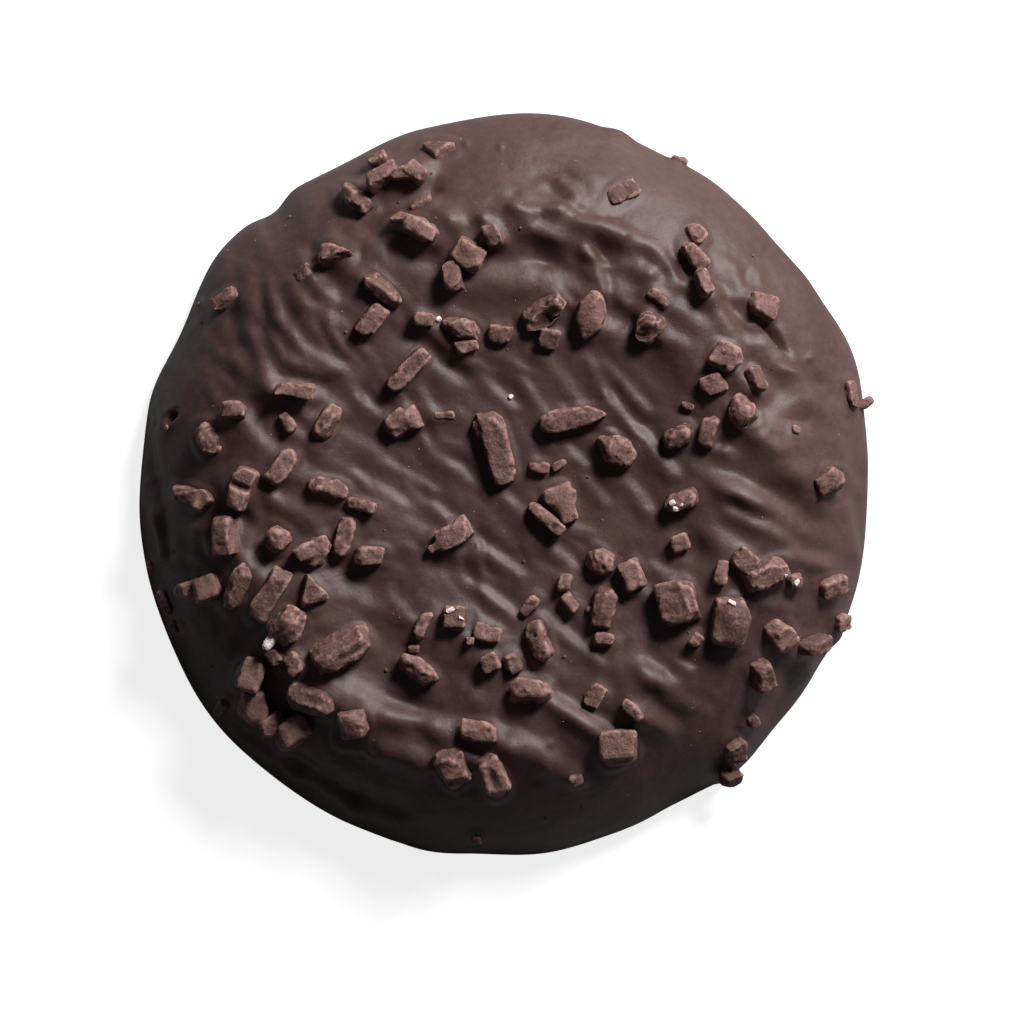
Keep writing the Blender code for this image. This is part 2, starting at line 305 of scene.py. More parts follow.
lines = np.linspace(-1, 1, NET_CELLS + 1)
reach, turn = folded_square(*np.meshgrid(lines, lines))
aim = np.interp(reach, *even_aims())
net = np.array([shot(*ray) for ray in zip(turn.ravel(), aim.ravel())]).reshape(*turn.shape, 3)
net[reach > 1 - 0.5 / NET_CELLS, 2] = 0.0
net = evened(net, EVENING_ROUNDS)
print("net points", net.shape[0] * net.shape[1])

# %% [markdown]
# ## The coating: ripples and folds
# The air knife pushes the liquid chocolate into ripples that run in wide arcs across the biscuit. They
# are a sine wave over the distance from a far-off centre, bent by noise. On top of them come the folds
# that can be seen one by one. Each is a steep flank between two places, with a ridge before it and a
# trough behind it.

# %% Smooth steps and noise
# The noise is read at another place for each seed, and made this much stronger.
NOISE_SHIFT = (17.3, 5.1, 9.7)
NOISE_GAIN = 1.6


def soft_step(value):
    """0 below 0, 1 above 1, and a smooth rise between them."""
    value = np.clip(value, 0.0, 1.0)
    return value * value * (3 - 2 * value)


def noise_at(places, size, seed):
    """Smooth noise, about -1 to 1, whose bumps are this many millimetres across."""
    shift = Vector([seed * step for step in NOISE_SHIFT])
    return np.array([noise.noise(Vector(place) / size + shift) for place in places]) * NOISE_GAIN


# %% Ripples across the whole top
RIPPLE_CENTRE = (49.0, 51.0)
RIPPLE_LENGTH = 3.3
RIPPLE_HEIGHT = 0.07
RIPPLE_STRENGTH = 0.5
# How far noise bends the ripples, in ripple lengths, and that noise's size and seed.
RIPPLE_BENDS = ((0.8, 9.0, 1), (0.22, 3.5, 7))
# Noise makes the ripples patchy: its middle, spread, size and seed.
PATCHES = (0.7, 1.3, 5.0, 2)
# Where the ripples stand higher than elsewhere: x, y, reach, how much.
RIPPLED = (
    (-27.0, 19.0, 13.0, 1.1),
    (-38.0, 5.0, 10.0, 0.3),
    (-4.0, 2.0, 16.0, 0.55),
    (6.0, -16.0, 12.0, 0.35),
    (24.0, 12.0, 10.0, -0.4),
    (2.0, 40.0, 14.0, -0.95),
    (32.0, 30.0, 14.0, -0.9),
    (36.0, 2.0, 12.0, -0.9),
    (36.0, -18.0, 12.0, -0.6),
    (-24.0, -30.0, 12.0, -0.8),
    (-20.5, -13.0, 5.0, -0.9),
    (-6.0, -38.0, 12.0, -0.8),
    (22.0, -30.0, 12.0, -0.6),
)


def ripples(places):
    """How high the ripples stand at these places, in millimetres."""
    x, y = places[:, 0], places[:, 1]
    away = np.hypot(x - RIPPLE_CENTRE[0], y - RIPPLE_CENTRE[1])
    waves = away / RIPPLE_LENGTH
    for bend, size, seed in RIPPLE_BENDS:
        waves += bend * noise_at(places, size, seed)
    phase = 2 * math.pi * waves
    # A weak second wave makes one flank of each ripple steeper than the other.
    wave = np.sin(phase) + 0.15 * np.sin(2 * phase + 0.8)
    strength = np.full(len(places), RIPPLE_STRENGTH)
    for centre_x, centre_y, reach, more in RIPPLED:
        strength += more * np.exp(-((x - centre_x) ** 2 + (y - centre_y) ** 2) / reach**2)
    middle, spread, size, seed = PATCHES
    strength *= np.clip(middle + spread * noise_at(places, size, seed), 0.05, 2)
    return RIPPLE_HEIGHT * np.clip(strength, 0, 3) * wave


# %% Broad forms and folds: from x, y to x, y along the steep flank, half width, height
# A negative height turns a flank away from the window, so it lies in shade.
FOLDS = (
    # broad forms: the near rim and the hollow inside it
    (-27.0, -20.8, -20.0, -24.6, 1.4, 0.38),
    (-20.6, -25.6, -11.8, -29.2, 1.5, 0.48),
    (-11.2, -28.7, -5.2, -30.7, 1.4, 0.45),
    (-5.0, -30.2, -1.0, -31.6, 1.4, 0.32),
    (-5.4, -32.6, -2.6, -34.2, 0.9, 0.5),
    (0.2, -31.0, 5.4, -33.2, 1.4, 0.42),
    (6.0, -24.5, 15.0, -31.8, 1.2, 0.34),
    (-19.0, -3.5, -12.5, -8.5, 2.2, -0.3),
    (-21.8, -10.8, -18.2, -14.2, 1.8, 0.6),
    (-24.5, -16.8, -21.5, -18.6, 1.2, -0.3),
    (-18.6, -14.6, -16.4, -16.2, 1.0, -0.25),
    (-18.0, -20.6, -14.0, -22.4, 1.3, -0.25),
    (11.0, -21.6, 13.6, -23.8, 1.2, -0.3),
    (4.6, -22.8, 6.6, -24.6, 1.0, -0.3),
    (-20.0, -16.0, -2.0, -23.0, 2.0, -0.26),
    (-28.0, -2.0, -6.0, -24.0, 3.8, -0.59),
    # broad forms: the far lip, the hollow under it and the dome
    (1.0, 31.8, 15.5, 29.0, 1.5, -0.3),
    (-1.5, 29.8, 2.0, 29.8, 1.0, -0.25),
    (3.0, 30.9, 5.6, 29.9, 1.2, -0.6),
    (5.4, 29.8, 9.2, 28.0, 1.2, -0.6),
    (12.6, 31.0, 16.4, 29.2, 0.9, -0.45),
    (-1.2, 34.9, 1.0, 35.6, 0.6, 0.26),
    (1.2, 35.6, 3.2, 34.8, 0.7, 0.3),
    (5.4, 34.8, 7.2, 35.6, 0.6, 0.28),
    (7.4, 35.2, 9.4, 33.9, 0.8, 0.3),
    (9.6, 33.8, 12.2, 33.0, 0.7, 0.34),
    (9.2, 36.6, 12.8, 35.6, 1.6, -0.5),
    (-0.5, 28.8, 4.5, 28.5, 0.9, -0.2),
    (8.4, 28.4, 10.8, 27.2, 0.8, 0.3),
    (13.6, 33.4, 16.4, 31.2, 0.8, 0.2),
    (4.0, 33.8, 5.4, 33.9, 0.6, -0.3),
    (6.2, 32.8, 9.2, 32.2, 0.9, -0.12),
    (0.4, 38.6, 2.8, 37.2, 1.2, 0.22),
    (-4.0, 26.6, 8.0, 25.2, 1.5, 0.44),
    (-13.8, 30.2, -9.0, 29.2, 1.1, -0.5),
    (-17.0, 35.4, -9.8, 38.4, 1.2, -1.3),
    (-19.0, 34.6, -16.6, 32.8, 1.0, -0.25),
    (-11.6, 19.4, -5.0, 14.8, 1.0, -0.4),
    (-11.2, 20.2, -8.4, 17.8, 0.9, -0.4),
    (15.4, 30.0, 17.0, 28.8, 0.7, 0.3),
    (13.4, 28.4, 16.4, 26.0, 1.1, -0.4),
    (17.8, 28.8, 20.2, 27.2, 0.9, -0.4),
    (7.4, 38.4, 9.6, 36.4, 0.7, 0.3),
    (16.0, 19.0, 26.0, 10.0, 1.9, -0.34),
    # broad forms: left and right
    (-29.6, 10.8, -24.0, 10.0, 1.1, -0.5),
    (-21.6, 27.8, -19.4, 25.6, 1.1, -0.35),
    (-24.6, 28.8, -23.2, 27.0, 0.8, 0.35),
    (-14.6, 23.0, -11.8, 19.4, 0.7, 0.22),
    (28.8, 23.8, 31.4, 21.2, 0.9, -0.8),
    (26.8, 24.8, 29.0, 23.8, 0.6, 0.35),
    (27.2, 13.6, 30.2, 10.8, 1.2, -0.7),
    (31.4, 16.6, 35.0, 13.0, 1.3, -0.65),
    (21.6, 29.0, 23.4, 27.0, 0.9, -0.45),
    (23.0, 24.4, 25.0, 22.6, 0.9, -0.45),
    (16.8, 20.6, 18.6, 18.2, 0.8, -0.45),
    (32.6, 7.6, 36.0, 6.2, 1.1, 0.4),
    (37.0, 12.6, 39.8, 10.6, 1.2, 0.35),
    (12.4, 20.7, 14.9, 18.9, 1.3, 0.6),
    (19.6, 19.8, 22.2, 18.2, 0.9, 0.25),
    (35.6, -0.2, 38.6, -3.0, 1.2, -0.6),
    (34.4, -20.6, 36.8, -24.0, 1.3, -0.45),
    (20.0, -18.6, 22.4, -21.0, 1.2, -0.25),
    (-26.8, 9.0, -24.2, 7.4, 1.0, -0.6),
    (-27.2, 6.2, -24.2, 4.2, 1.1, -0.4),
    (-28.4, 1.4, -26.2, 0.2, 0.9, -0.35),
    (-34.2, -1.2, -31.8, -4.0, 0.8, -0.3),
    (-26.4, 14.4, -22.6, 13.2, 0.9, -0.45),
    (-26.6, 2.6, -21.8, 1.4, 1.2, -0.2),
    (-8.4, -8.6, -4.2, -9.8, 1.1, -0.4),
    (-31.0, 12.0, -26.0, 6.0, 1.5, -0.26),
    (-35.0, -1.0, -25.0, -5.0, 1.5, -0.26),
    (24.4, -4.0, 25.2, -17.0, 1.6, -0.35),
    (30.8, 4.6, 35.6, 0.4, 1.6, -0.5),
    (32.0, 9.0, 37.5, 7.5, 1.2, 0.3),
    (27.0, 1.0, 31.5, -1.2, 1.2, 0.26),
    # left shoulder
    (-34.8, 30.0, -34.0, 24.5, 1.0, 0.15),
    (-31.4, 27.5, -31.0, 19.5, 0.9, 0.3),
    (-34.2, 20.0, -32.6, 15.6, 0.9, 0.28),
    (-31.4, 19.5, -28.3, 12.5, 0.8, 0.28),
    (-28.9, 25.5, -27.7, 21.0, 0.8, 0.22),
    (-27.7, 21.0, -24.8, 17.8, 0.8, 0.22),
    (-26.2, 25.6, -24.6, 23.3, 0.7, 0.22),
    (-24.6, 23.3, -20.2, 21.0, 0.7, 0.12),
    (-24.0, 26.3, -21.0, 23.6, 0.7, 0.2),
    (-28.6, 19.0, -25.8, 14.8, 0.8, 0.12),
    (-23.6, 16.8, -20.6, 15.0, 0.7, 0.25),
    (-20.6, 20.4, -18.4, 18.0, 0.9, 0.25),
    (-36.4, 19.0, -34.8, 13.5, 0.8, 0.18),
    (-36.9, 14.2, -35.7, 11.4, 0.7, 0.2),
    (-32.8, 9.4, -30.2, 6.0, 0.9, 0.3),
    (-31.2, -7.2, -29.6, -10.6, 1.3, 0.6),
    (-33.2, -7.8, -31.4, -9.4, 0.8, 0.4),
    (-29.5, 31.5, -29.2, 28.0, 0.8, 0.15),
    (-20.8, 31.4, -19.0, 29.6, 0.8, 0.2),
    (-18.0, 32.0, -15.2, 30.2, 0.9, 0.25),
    (-43.9, 0.5, -42.4, -8.5, 0.5, 0.35),
    # across the middle, left to right
    (-19.4, 15.6, -17.7, 11.2, 0.8, 0.2),
    (-17.7, 11.2, -15.4, 9.0, 0.7, 0.22),
    (-19.4, 6.7, -15.4, 4.4, 0.7, 0.08),
    (-18.6, 2.0, -12.8, -1.8, 0.7, 0.18),
    (-14.4, 3.2, -8.4, -0.4, 0.6, 0.16),
    (-29.5, -0.5, -23.4, -4.4, 0.8, 0.15),
    (-11.8, 0.2, -10.0, -1.8, 0.6, 0.12),
    (-9.6, 6.2, -4.4, 1.0, 0.7, 0.2),
    (-10.2, 11.9, -8.2, 8.8, 0.7, 0.14),
    (-8.6, 15.8, -4.0, 11.5, 0.8, 0.1),
    (-1.9, 13.2, 1.0, 10.4, 0.8, 0.28),
    (1.6, 15.8, 4.6, 10.4, 0.8, 0.16),
    (5.4, 16.4, 9.4, 11.0, 0.8, 0.16),
    (11.0, 15.8, 13.2, 11.4, 0.7, 0.2),
    (13.2, 11.4, 16.6, 7.0, 0.7, 0.3),
    (12.8, 15.4, 17.8, 9.8, 0.7, 0.18),
    (17.4, 6.9, 21.2, 2.2, 0.9, 0.5),
    (8.0, 5.0, 10.2, 2.8, 0.7, 0.25),
    (10.6, 0.8, 12.6, -1.6, 0.7, 0.2),
    (16.0, 0.6, 18.2, -2.4, 0.8, 0.25),
    (-8.6, -2.1, -4.7, -6.0, 0.7, 0.25),
    (-2.7, -7.2, 1.8, -10.5, 0.75, 0.34),
    (-2.1, -12.6, 1.6, -16.2, 0.75, 0.34),
    (-13.9, -13.3, -10.8, -17.2, 0.8, 0.16),
    (-0.2, -0.6, 3.2, -3.8, 0.7, 0.26),
    (6.6, -7.6, 9.0, -9.6, 0.7, 0.22),
    (5.0, -15.8, 12.0, -21.8, 0.8, 0.34),
    # near side
    (18.0, -22.5, 19.8, -23.7, 1.1, 0.72),
    (16.2, -24.8, 18.0, -26.4, 0.9, 0.35),
    (6.8, -26.8, 12.4, -30.2, 0.9, 0.62),
    (17.2, -27.6, 20.6, -29.6, 1.0, 0.68),
    (0.4, -30.4, 5.8, -32.4, 1.1, 0.25),
    (6.0, -34.0, 9.2, -35.4, 1.1, 0.35),
    (22.0, -21.9, 23.2, -22.6, 0.6, 0.3),
    (23.0, -26.7, 25.4, -27.8, 0.6, 0.15),
    (-20.8, -22.9, -14.4, -27.3, 1.6, 0.42),
    (-14.2, -27.6, -9.0, -28.8, 0.9, 0.25),
    (-14.2, -32.2, -10.4, -33.4, 1.2, 0.6),
    (-5.6, -24.0, -3.0, -26.0, 0.8, 0.15),
    (-33.5, -30.6, -26.0, -35.6, 0.9, 0.45),
    (-26.0, -35.6, -18.5, -39.6, 0.9, 0.45),
    (-18.5, -39.6, -13.5, -41.2, 0.9, 0.35),
    (-29.5, -36.0, -22.0, -40.6, 0.8, 0.3),
    (43.4, -2.5, 44.4, -8.0, 0.8, 0.35),
    (42.6, 5.5, 43.6, 1.0, 0.8, 0.25),
    (-44.8, 6.0, -44.6, -2.0, 0.6, 0.35),
    # right side
    (18.8, -9.7, 21.0, -11.2, 0.7, 0.25),
    (16.9, -12.4, 18.9, -14.0, 0.8, 0.3),
    (23.4, -6.4, 26.8, -8.6, 1.2, -0.35),
    (28.8, 0.4, 32.0, -1.4, 1.2, 0.62),
    (22.6, 3.6, 27.4, 0.6, 1.0, 0.2),
    (26.9, 4.8, 28.2, 4.2, 0.7, 0.2),
    (28.6, -3.0, 31.0, -4.2, 0.8, 0.5),
    (32.6, -4.8, 36.0, -6.6, 0.8, 0.3),
    (36.2, -8.1, 39.6, -9.1, 0.9, 0.5),
    (31.0, -13.4, 35.2, -14.6, 0.8, 0.3),
    (31.6, 9.0, 37.4, 11.2, 1.2, 0.25),
    (37.4, 13.0, 39.4, 12.2, 0.7, 0.2),
    (31.0, 6.9, 34.0, 5.2, 0.8, 0.25),
    (35.0, 14.8, 36.8, 14.0, 0.5, 0.2),
    (26.6, 23.6, 29.6, 18.6, 0.8, 0.25),
    (28.0, 28.4, 29.6, 26.8, 0.7, 0.25),
    (31.0, 28.0, 32.6, 25.4, 0.7, 0.25),
    (20.6, 29.0, 22.4, 25.8, 0.8, 0.2),
    # far ridge
    (14.2, 24.6, 15.4, 23.2, 0.7, 0.25),
    (10.8, 29.4, 12.6, 28.2, 0.7, 0.55),
    (11.6, 28.4, 12.8, 24.8, 0.6, 0.35),
    (8.0, 23.4, 9.2, 22.6, 0.5, 0.2),
    (4.2, 38.4, 6.6, 38.8, 0.6, 0.2),
)
# The whole list is made this much wider and lower or higher at once.
WIDER = 1.1
HIGHER = 0.9
# Beyond its ends a fold fades out over this many half widths.
FOLD_FADE = 1.5
LIT_FROM = np.array(direction(LIT_TURN, 0.0))[:2]


def folds(places):
    """How high all the folds together stand at these places, in millimetres."""
    total = np.zeros(len(places))
    for from_x, from_y, to_x, to_y, half_width, height in FOLDS:
        start = np.array((from_x, from_y))
        along = np.array((to_x, to_y)) - start
        length = np.linalg.norm(along)
        along /= length
        across = np.array((-along[1], along[0]))
        if across @ LIT_FROM < 0:
            across = -across
        gone = (places[:, :2] - start) @ along
        aside = (places[:, :2] - start) @ across / (half_width * WIDER)
        beyond = np.maximum(np.maximum(-gone, gone - length), 0) / (FOLD_FADE * half_width)
        # The 0.5 brings the ridge and the trough beside the flank to the full height.
        total -= HIGHER * height * aside * np.exp(0.5 - aside**2 / 2 - beyond**2)
    return total


# %% [markdown]
# ## The coating: lumps, pits and collars
# Some chopped pieces went under the curtain of chocolate and show only as soft lumps. Where a piece
# landed on the liquid coating, the chocolate crept a little way up its sides. That collar is what makes
# a piece look stuck on instead of laid on, so the coating is raised round each outline.

# %% Coated lumps and small hollows: x, y, half length, half width, turn, height
LUMPS = (
    (-7.0, 33.2, 1.8, 1.2, -30, 0.9),
    (-2.8, 33.3, 0.9, 0.8, 0, 0.7),
    (-1.4, 31.2, 1.3, 1.5, 0, 0.5),
    (-0.2, 30.4, 0.6, 0.6, 0, 0.5),
    (13.6, 19.8, 1.5, 1.3, 0, 0.4),
    (-38.2, -5.4, 1.3, 1.2, 0, 0.5),
    (-38.6, -8.9, 2.2, 0.6, -30, 0.2),
    (11.9, 33.4, 0.6, 0.4, 0, 0.3),
    (17.4, -24.6, 1.3, 1.2, -20, 0.5),
    (-4.0, -33.6, 1.6, 1.1, -20, 0.7),
    (-11.0, -30.6, 1.6, 1.2, -20, -0.5),
    (29.6, -1.1, 1.4, 1.0, -35, 0.35),
    (0.6, -32.6, 1.2, 1.0, -20, 0.4),
    (-17.6, -26.6, 1.4, 0.9, -45, 0.35),
    (5.9, -32.2, 0.6, 0.6, 0, 0.3),
    (36.3, 14.3, 0.7, 0.5, 0, 0.3),
    (38.3, 16.0, 0.6, 0.5, 0, 0.3),
    (27.6, 4.4, 0.8, 0.6, 0, 0.3),
    (-41.6, 8.5, 1.5, 1.1, 55, 0.5),
    (-41.5, 8.6, 0.8, 0.42, 55, -1.7),
    (33.7, 18.7, 2.3, 0.42, -54, -2.2),
    (35.0, 19.6, 2.4, 0.9, -54, 0.35),
    (30.3, 26.0, 0.8, 1.2, 10, -0.5),
    (28.8, 27.2, 1.0, 1.3, 10, 0.35),
    (31.8, 26.4, 0.8, 1.4, 0, 0.3),
    (1.6, 34.4, 1.3, 0.9, -10, 0.45),
    (7.0, 34.4, 1.4, 0.9, 0, 0.4),
    (10.8, 32.8, 1.4, 0.9, -10, 0.45),
    (14.6, 31.0, 1.6, 1.4, -20, 0.6),
    (18.4, 26.6, 1.0, 0.9, 0, 0.4),
    (15.2, 24.6, 1.4, 0.9, -40, 0.35),
    (-9.0, 36.0, 1.4, 0.7, 40, 0.3),
    (-4.8, 42.8, 0.5, 0.5, 0, 0.4),
    (-0.5, 42.3, 0.4, 0.4, 0, 0.3),
    (5.9, 37.1, 1.6, 1.0, -20, -0.55),
    (-16.6, -33.6, 0.9, 0.5, -30, 0.35),
    (-36.8, 14.2, 0.5, 0.9, 20, 0.2),
    (29.7, -29.9, 0.7, 0.6, 0, 0.5),
    (-4.4, -19.4, 0.5, 0.5, 0, 0.4),
    (24.4, 30.8, 1.6, 1.0, -60, 0.2),
)

# The same for bulges on the steep rim, which reach down nearly to the base.
RIM_BULGES = (
    (14.4, 44.2, 2.2, 1.6, -20, 0.7),
    (22.0, 41.0, 1.3, 1.2, -35, 0.75),
    (36.6, 27.0, 6.0, 1.4, -48, 0.42),
    (41.6, -18.8, 1.6, 1.4, 60, 0.7),
    (35.2, -28.6, 5.0, 1.4, 52, 0.5),
    (44.8, 2.0, 11.0, 1.6, 90, 0.22),
    (27.3, -36.9, 1.2, 1.0, 35, 0.5),
    (15.0, -42.6, 6.5, 1.6, 20, 0.5),
    (-8.5, -45.4, 5.0, 1.6, -5, 0.42),
)


def ovals(places, rows):
    """How high soft oval lumps stand at these places, in millimetres. A negative one is a hollow."""
    total = np.zeros(len(places))
    for centre_x, centre_y, half_length, half_width, turn, height in rows:
        angle = math.radians(turn)
        x, y = places[:, 0] - centre_x, places[:, 1] - centre_y
        along = (x * math.cos(angle) + y * math.sin(angle)) / half_length
        across = (y * math.cos(angle) - x * math.sin(angle)) / half_width
        total += height * np.exp(-(along**2) - across**2)
    return total


# %% Small chopped pieces: x, y, length, width, height, turn, share under the coating, sideways bow
SMALL_PIECES = (
    (-15.6, 40.3, 2.4, 1.8, 1.8, 10, 0.25, 0.0),
    (-15.0, 38.1, 4.8, 2.0, 2.5, 38, 0.12, 0.3),
    (-12.9, 38.8, 3.0, 1.8, 2.3, 10, 0.12, 0.0),
    (-11.0, 39.0, 2.8, 2.2, 2.4, -40, 0.12, 0.0),
    (-10.4, 35.2, 3.6, 2.0, 1.1, 32, 0.4, 0.0),
    (-25.2, 26.5, 2.4, 2.0, 0.9, 20, 0.6, 0.0),
    (-6.4, 26.3, 4.4, 2.5, 2.5, -80, 0.2, 0.0),
    (-34.7, 23.2, 3.8, 2.2, 1.8, 25, 0.35, 0.0),
    (-38.3, 22.8, 0.9, 0.8, 0.7, 0, 0.4, 0.0),
    (-10.0, 20.7, 2.9, 1.7, 1.3, -10, 0.3, 0.0),
    (-4.8, 17.3, 3.2, 1.8, 1.6, 10, 0.3, 0.0),
    (-0.5, 19.0, 3.2, 2.5, 1.4, -5, 0.35, 0.0),
    (-7.4, 8.8, 3.0, 1.2, 0.8, 0, 0.5, 0.0),
    (4.3, 2.3, 2.8, 1.7, 1.3, -5, 0.3, 0.0),
    (6.9, 2.7, 2.2, 1.2, 1.1, 25, 0.3, 0.0),
    (5.5, 18.4, 3.0, 2.6, 1.6, -15, 0.35, 0.0),
    (19.2, 23.2, 3.2, 1.6, 1.2, -40, 0.4, 0.6),
    (23.8, 31.3, 3.0, 2.2, 1.5, -60, 0.4, 0.0),
    (23.5, 28.6, 4.4, 2.2, 2.2, -50, 0.25, 0.0),
    (24.6, 24.8, 3.8, 1.8, 2.4, -75, 0.2, 0.0),
    (32.1, 22.6, 4.0, 3.4, 1.8, -15, 0.35, 0.0),
    (14.8, 36.6, 4.8, 2.6, 0.9, 33, 0.45, 0.0),
    (26.0, 12.5, 3.6, 2.8, 1.7, 15, 0.3, 0.0),
    (31.0, 13.0, 3.4, 2.1, 1.8, -85, 0.3, 0.0),
    (22.9, 10.0, 1.9, 1.0, 0.9, -20, 0.3, 0.0),
    (25.5, 6.8, 4.4, 2.3, 1.9, 73, 0.3, 0.0),
    (36.3, 6.9, 1.4, 1.3, 0.8, 0, 0.4, 0.0),
    (43.3, 11.4, 4.0, 2.2, 1.4, -75, 0.4, 0.0),
    (44.7, 10.4, 3.4, 1.4, 1.1, 25, 0.2, -0.3),
    (-26.2, 11.8, 5.2, 2.1, 2.2, -6, 0.2, 0.3),
    (-33.6, 9.2, 3.2, 2.4, 1.8, -5, 0.3, 0.0),
    (-42.3, 7.2, 1.3, 0.8, 0.6, 50, 0.5, 0.0),
    (-27.0, 7.8, 2.8, 1.4, 1.3, -55, 0.3, 0.0),
    (-17.9, -2.6, 4.2, 1.8, 1.6, -15, 0.3, 0.3),
    (5.4, -4.1, 5.8, 1.8, 2.2, -38, 0.2, 0.0),
    (22.0, -7.1, 2.6, 2.4, 1.8, 20, 0.3, 0.0),
    (7.5, -12.1, 2.2, 1.8, 1.5, 80, 0.3, 0.0),
    (8.3, -14.6, 2.8, 1.6, 1.4, -50, 0.3, 0.0),
    (10.5, -15.4, 1.2, 0.9, 0.8, 0, 0.3, 0.0),
    (12.5, -19.2, 2.8, 1.8, 1.5, -10, 0.3, 0.0),
    (3.2, -15.1, 3.0, 1.6, 1.3, 50, 0.3, 0.0),
    (-2.1, -18.4, 3.6, 2.2, 1.9, -15, 0.3, 0.0),
    (-4.3, -19.3, 1.4, 1.2, 1.0, 0, 0.3, 0.0),
    (-1.9, -22.0, 2.6, 2.4, 1.6, 30, 0.3, 0.0),
    (1.1, -22.1, 2.8, 2.2, 1.7, -60, 0.3, 0.0),
    (-6.2, -16.6, 3.4, 3.0, 2.2, 0, 0.3, 0.0),
    (-9.7, -17.4, 3.8, 1.4, 1.3, 65, 0.3, 0.7),
    (-11.2, -20.3, 1.8, 1.2, 1.2, 0, 0.3, 0.0),
    (11.4, -26.2, 3.0, 2.4, 1.1, 60, 0.45, 0.4),
    (16.0, -28.0, 3.4, 1.6, 1.5, -50, 0.3, 0.0),
    (8.9, -36.5, 1.8, 1.3, 1.0, 15, 0.4, 0.0),
    (23.8, -19.2, 2.0, 1.6, 1.6, 60, 0.3, 0.0),
    (27.0, -10.9, 3.6, 1.9, 1.8, 80, 0.3, 0.0),
    (29.8, -9.4, 3.4, 2.9, 2.2, -40, 0.3, 0.0),
    (36.0, -11.8, 2.4, 2.0, 1.5, 0, 0.3, 0.0),
    (40.8, -12.4, 3.8, 2.4, 1.8, 10, 0.35, 0.0),
    (41.9, -17.0, 2.4, 2.2, 1.6, 0, 0.35, 0.0),
    (38.0, -19.6, 4.6, 2.2, 3.0, 4, 0.2, 0.0),
    (31.8, -23.5, 4.4, 2.8, 2.6, -60, 0.2, 0.0),
    (30.9, -29.2, 2.2, 1.8, 1.3, -50, 0.35, 0.0),
    (28.7, -32.8, 3.4, 3.0, 2.0, -60, 0.3, 0.0),
    (28.4, -36.6, 2.6, 2.6, 2.2, 0, 0.0, 0.0),
    (-1.4, 31.2, 3.2, 2.1, 1.7, -65, 0.45, 0.0),
    (-42.4, -14.4, 3.4, 1.6, 1.3, -45, 0.45, 0.0),
    (-41.2, -17.6, 2.0, 1.4, 1.1, -60, 0.5, 0.0),
    (-44.3, -9.8, 1.4, 1.0, 0.8, 0, 0.5, 0.0),
    (-28.4, -21.3, 2.4, 2.0, 1.7, -60, 0.3, 0.0),
    (-26.2, -22.1, 3.2, 2.2, 1.8, -60, 0.3, 0.0),
    (-28.9, -29.8, 3.5, 2.9, 3.6, 20, 0.2, 0.0),
    (-35.3, -27.8, 3.4, 1.8, 1.4, 50, 0.45, 0.0),
    (-3.6, -44.1, 1.6, 1.3, 1.0, 0, 0.4, 0.0),
    (-23.3, -9.4, 2.0, 1.2, 1.2, 10, 0.3, 0.0),
    (21.9, 40.9, 2.4, 1.0, 0.8, -30, 0.5, 0.0),
)

# Pieces that are much darker or lighter than the rest, some by their own colour, as the coated ones, and some
# as painted light or painted shade.
PIECE_TONES_AND_PAINTED_LIGHT = {
    (14.8, 36.6): -3.0,
    (38.0, -19.6): -1.5,
    (31.0, 13.0): -1.5,
    (-10.4, 35.2): 1.0,
    (28.4, -36.6): -3.0,
    (-1.4, 31.2): -5.0,
    (-26.2, 11.8): 1.0,
    (5.5, 18.4): -1.0,
}
# Pieces that stand upright instead of leaning with the slope.
UPRIGHT = ((44.7, 10.4), (-28.9, -29.8), (-26.2, 11.8))

# %% The outline of each large chip, from its own points
CHIP_NODES = sorted(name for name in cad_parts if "_chip_" in name)


def outline(node_name):
    """Middle x and y, half length, half width and turn of a node seen from above, in millimetres."""
    plan = points_of(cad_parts[node_name].data)[:, :2] / MM
    _, ways = np.linalg.eigh(np.cov(plan.T))
    long_way, short_way = ways[:, 1], ways[:, 0]
    along, across = plan @ long_way, plan @ short_way
    middle = long_way * (along.max() + along.min()) / 2 + short_way * (across.max() + across.min()) / 2
    turn = math.degrees(math.atan2(long_way[1], long_way[0]))
    return middle[0], middle[1], np.ptp(along) / 2, np.ptp(across) / 2, turn


CHIP_OUTLINES = {name: outline(name) for name in CHIP_NODES}
print("large chips", len(CHIP_OUTLINES))

# %% Collars where the coating creeps up
COLLAR_HEIGHT = 0.28
COLLAR_WIDTH = 0.85
SMALL_COLLAR_HEIGHT = 0.2
# A collar starts just inside the outline of its piece, which is a rectangle with rounded corners.
COLLAR_START = 0.9
CORNER_POWER = 3


def collar(places, middle_x, middle_y, half_length, half_width, turn, height):
    """The rise round one piece: full under it, and fading out beside it."""
    angle = math.radians(turn)
    x, y = places[:, 0] - middle_x, places[:, 1] - middle_y
    along = np.abs(x * math.cos(angle) + y * math.sin(angle)) / half_length
    across = np.abs(y * math.cos(angle) - x * math.sin(angle)) / half_width
    reach = (along**CORNER_POWER + across**CORNER_POWER) ** (1 / CORNER_POWER)
    outside = (reach - COLLAR_START) * half_width
    return height * soft_step(1 - outside / COLLAR_WIDTH)


def collars(places):
    """The highest collar at each place, so that those of close pieces don't add up."""
    highest = np.zeros(len(places))
    for shape in CHIP_OUTLINES.values():
        highest = np.maximum(highest, collar(places, *shape, COLLAR_HEIGHT))
    for x, y, length, width, _, turn, _, _ in SMALL_PIECES:
        highest = np.maximum(highest, collar(places, x, y, length / 2, width / 2, turn, SMALL_COLLAR_HEIGHT))
    return highest


# %% [markdown]
# ## The coating: moving its points
# All of this relief moves the points of the fine mesh along their normals. It fades away at the foot,
# where the coating stood on the cooling belt. The base stays flat, as the belt pressed it, and rings of
# faces near its edge keep the shading of the corner clean.

# %% Raise and sink the net
FOOT_FADE = (0.4, 4.0)
RIM_FADE = 2.0
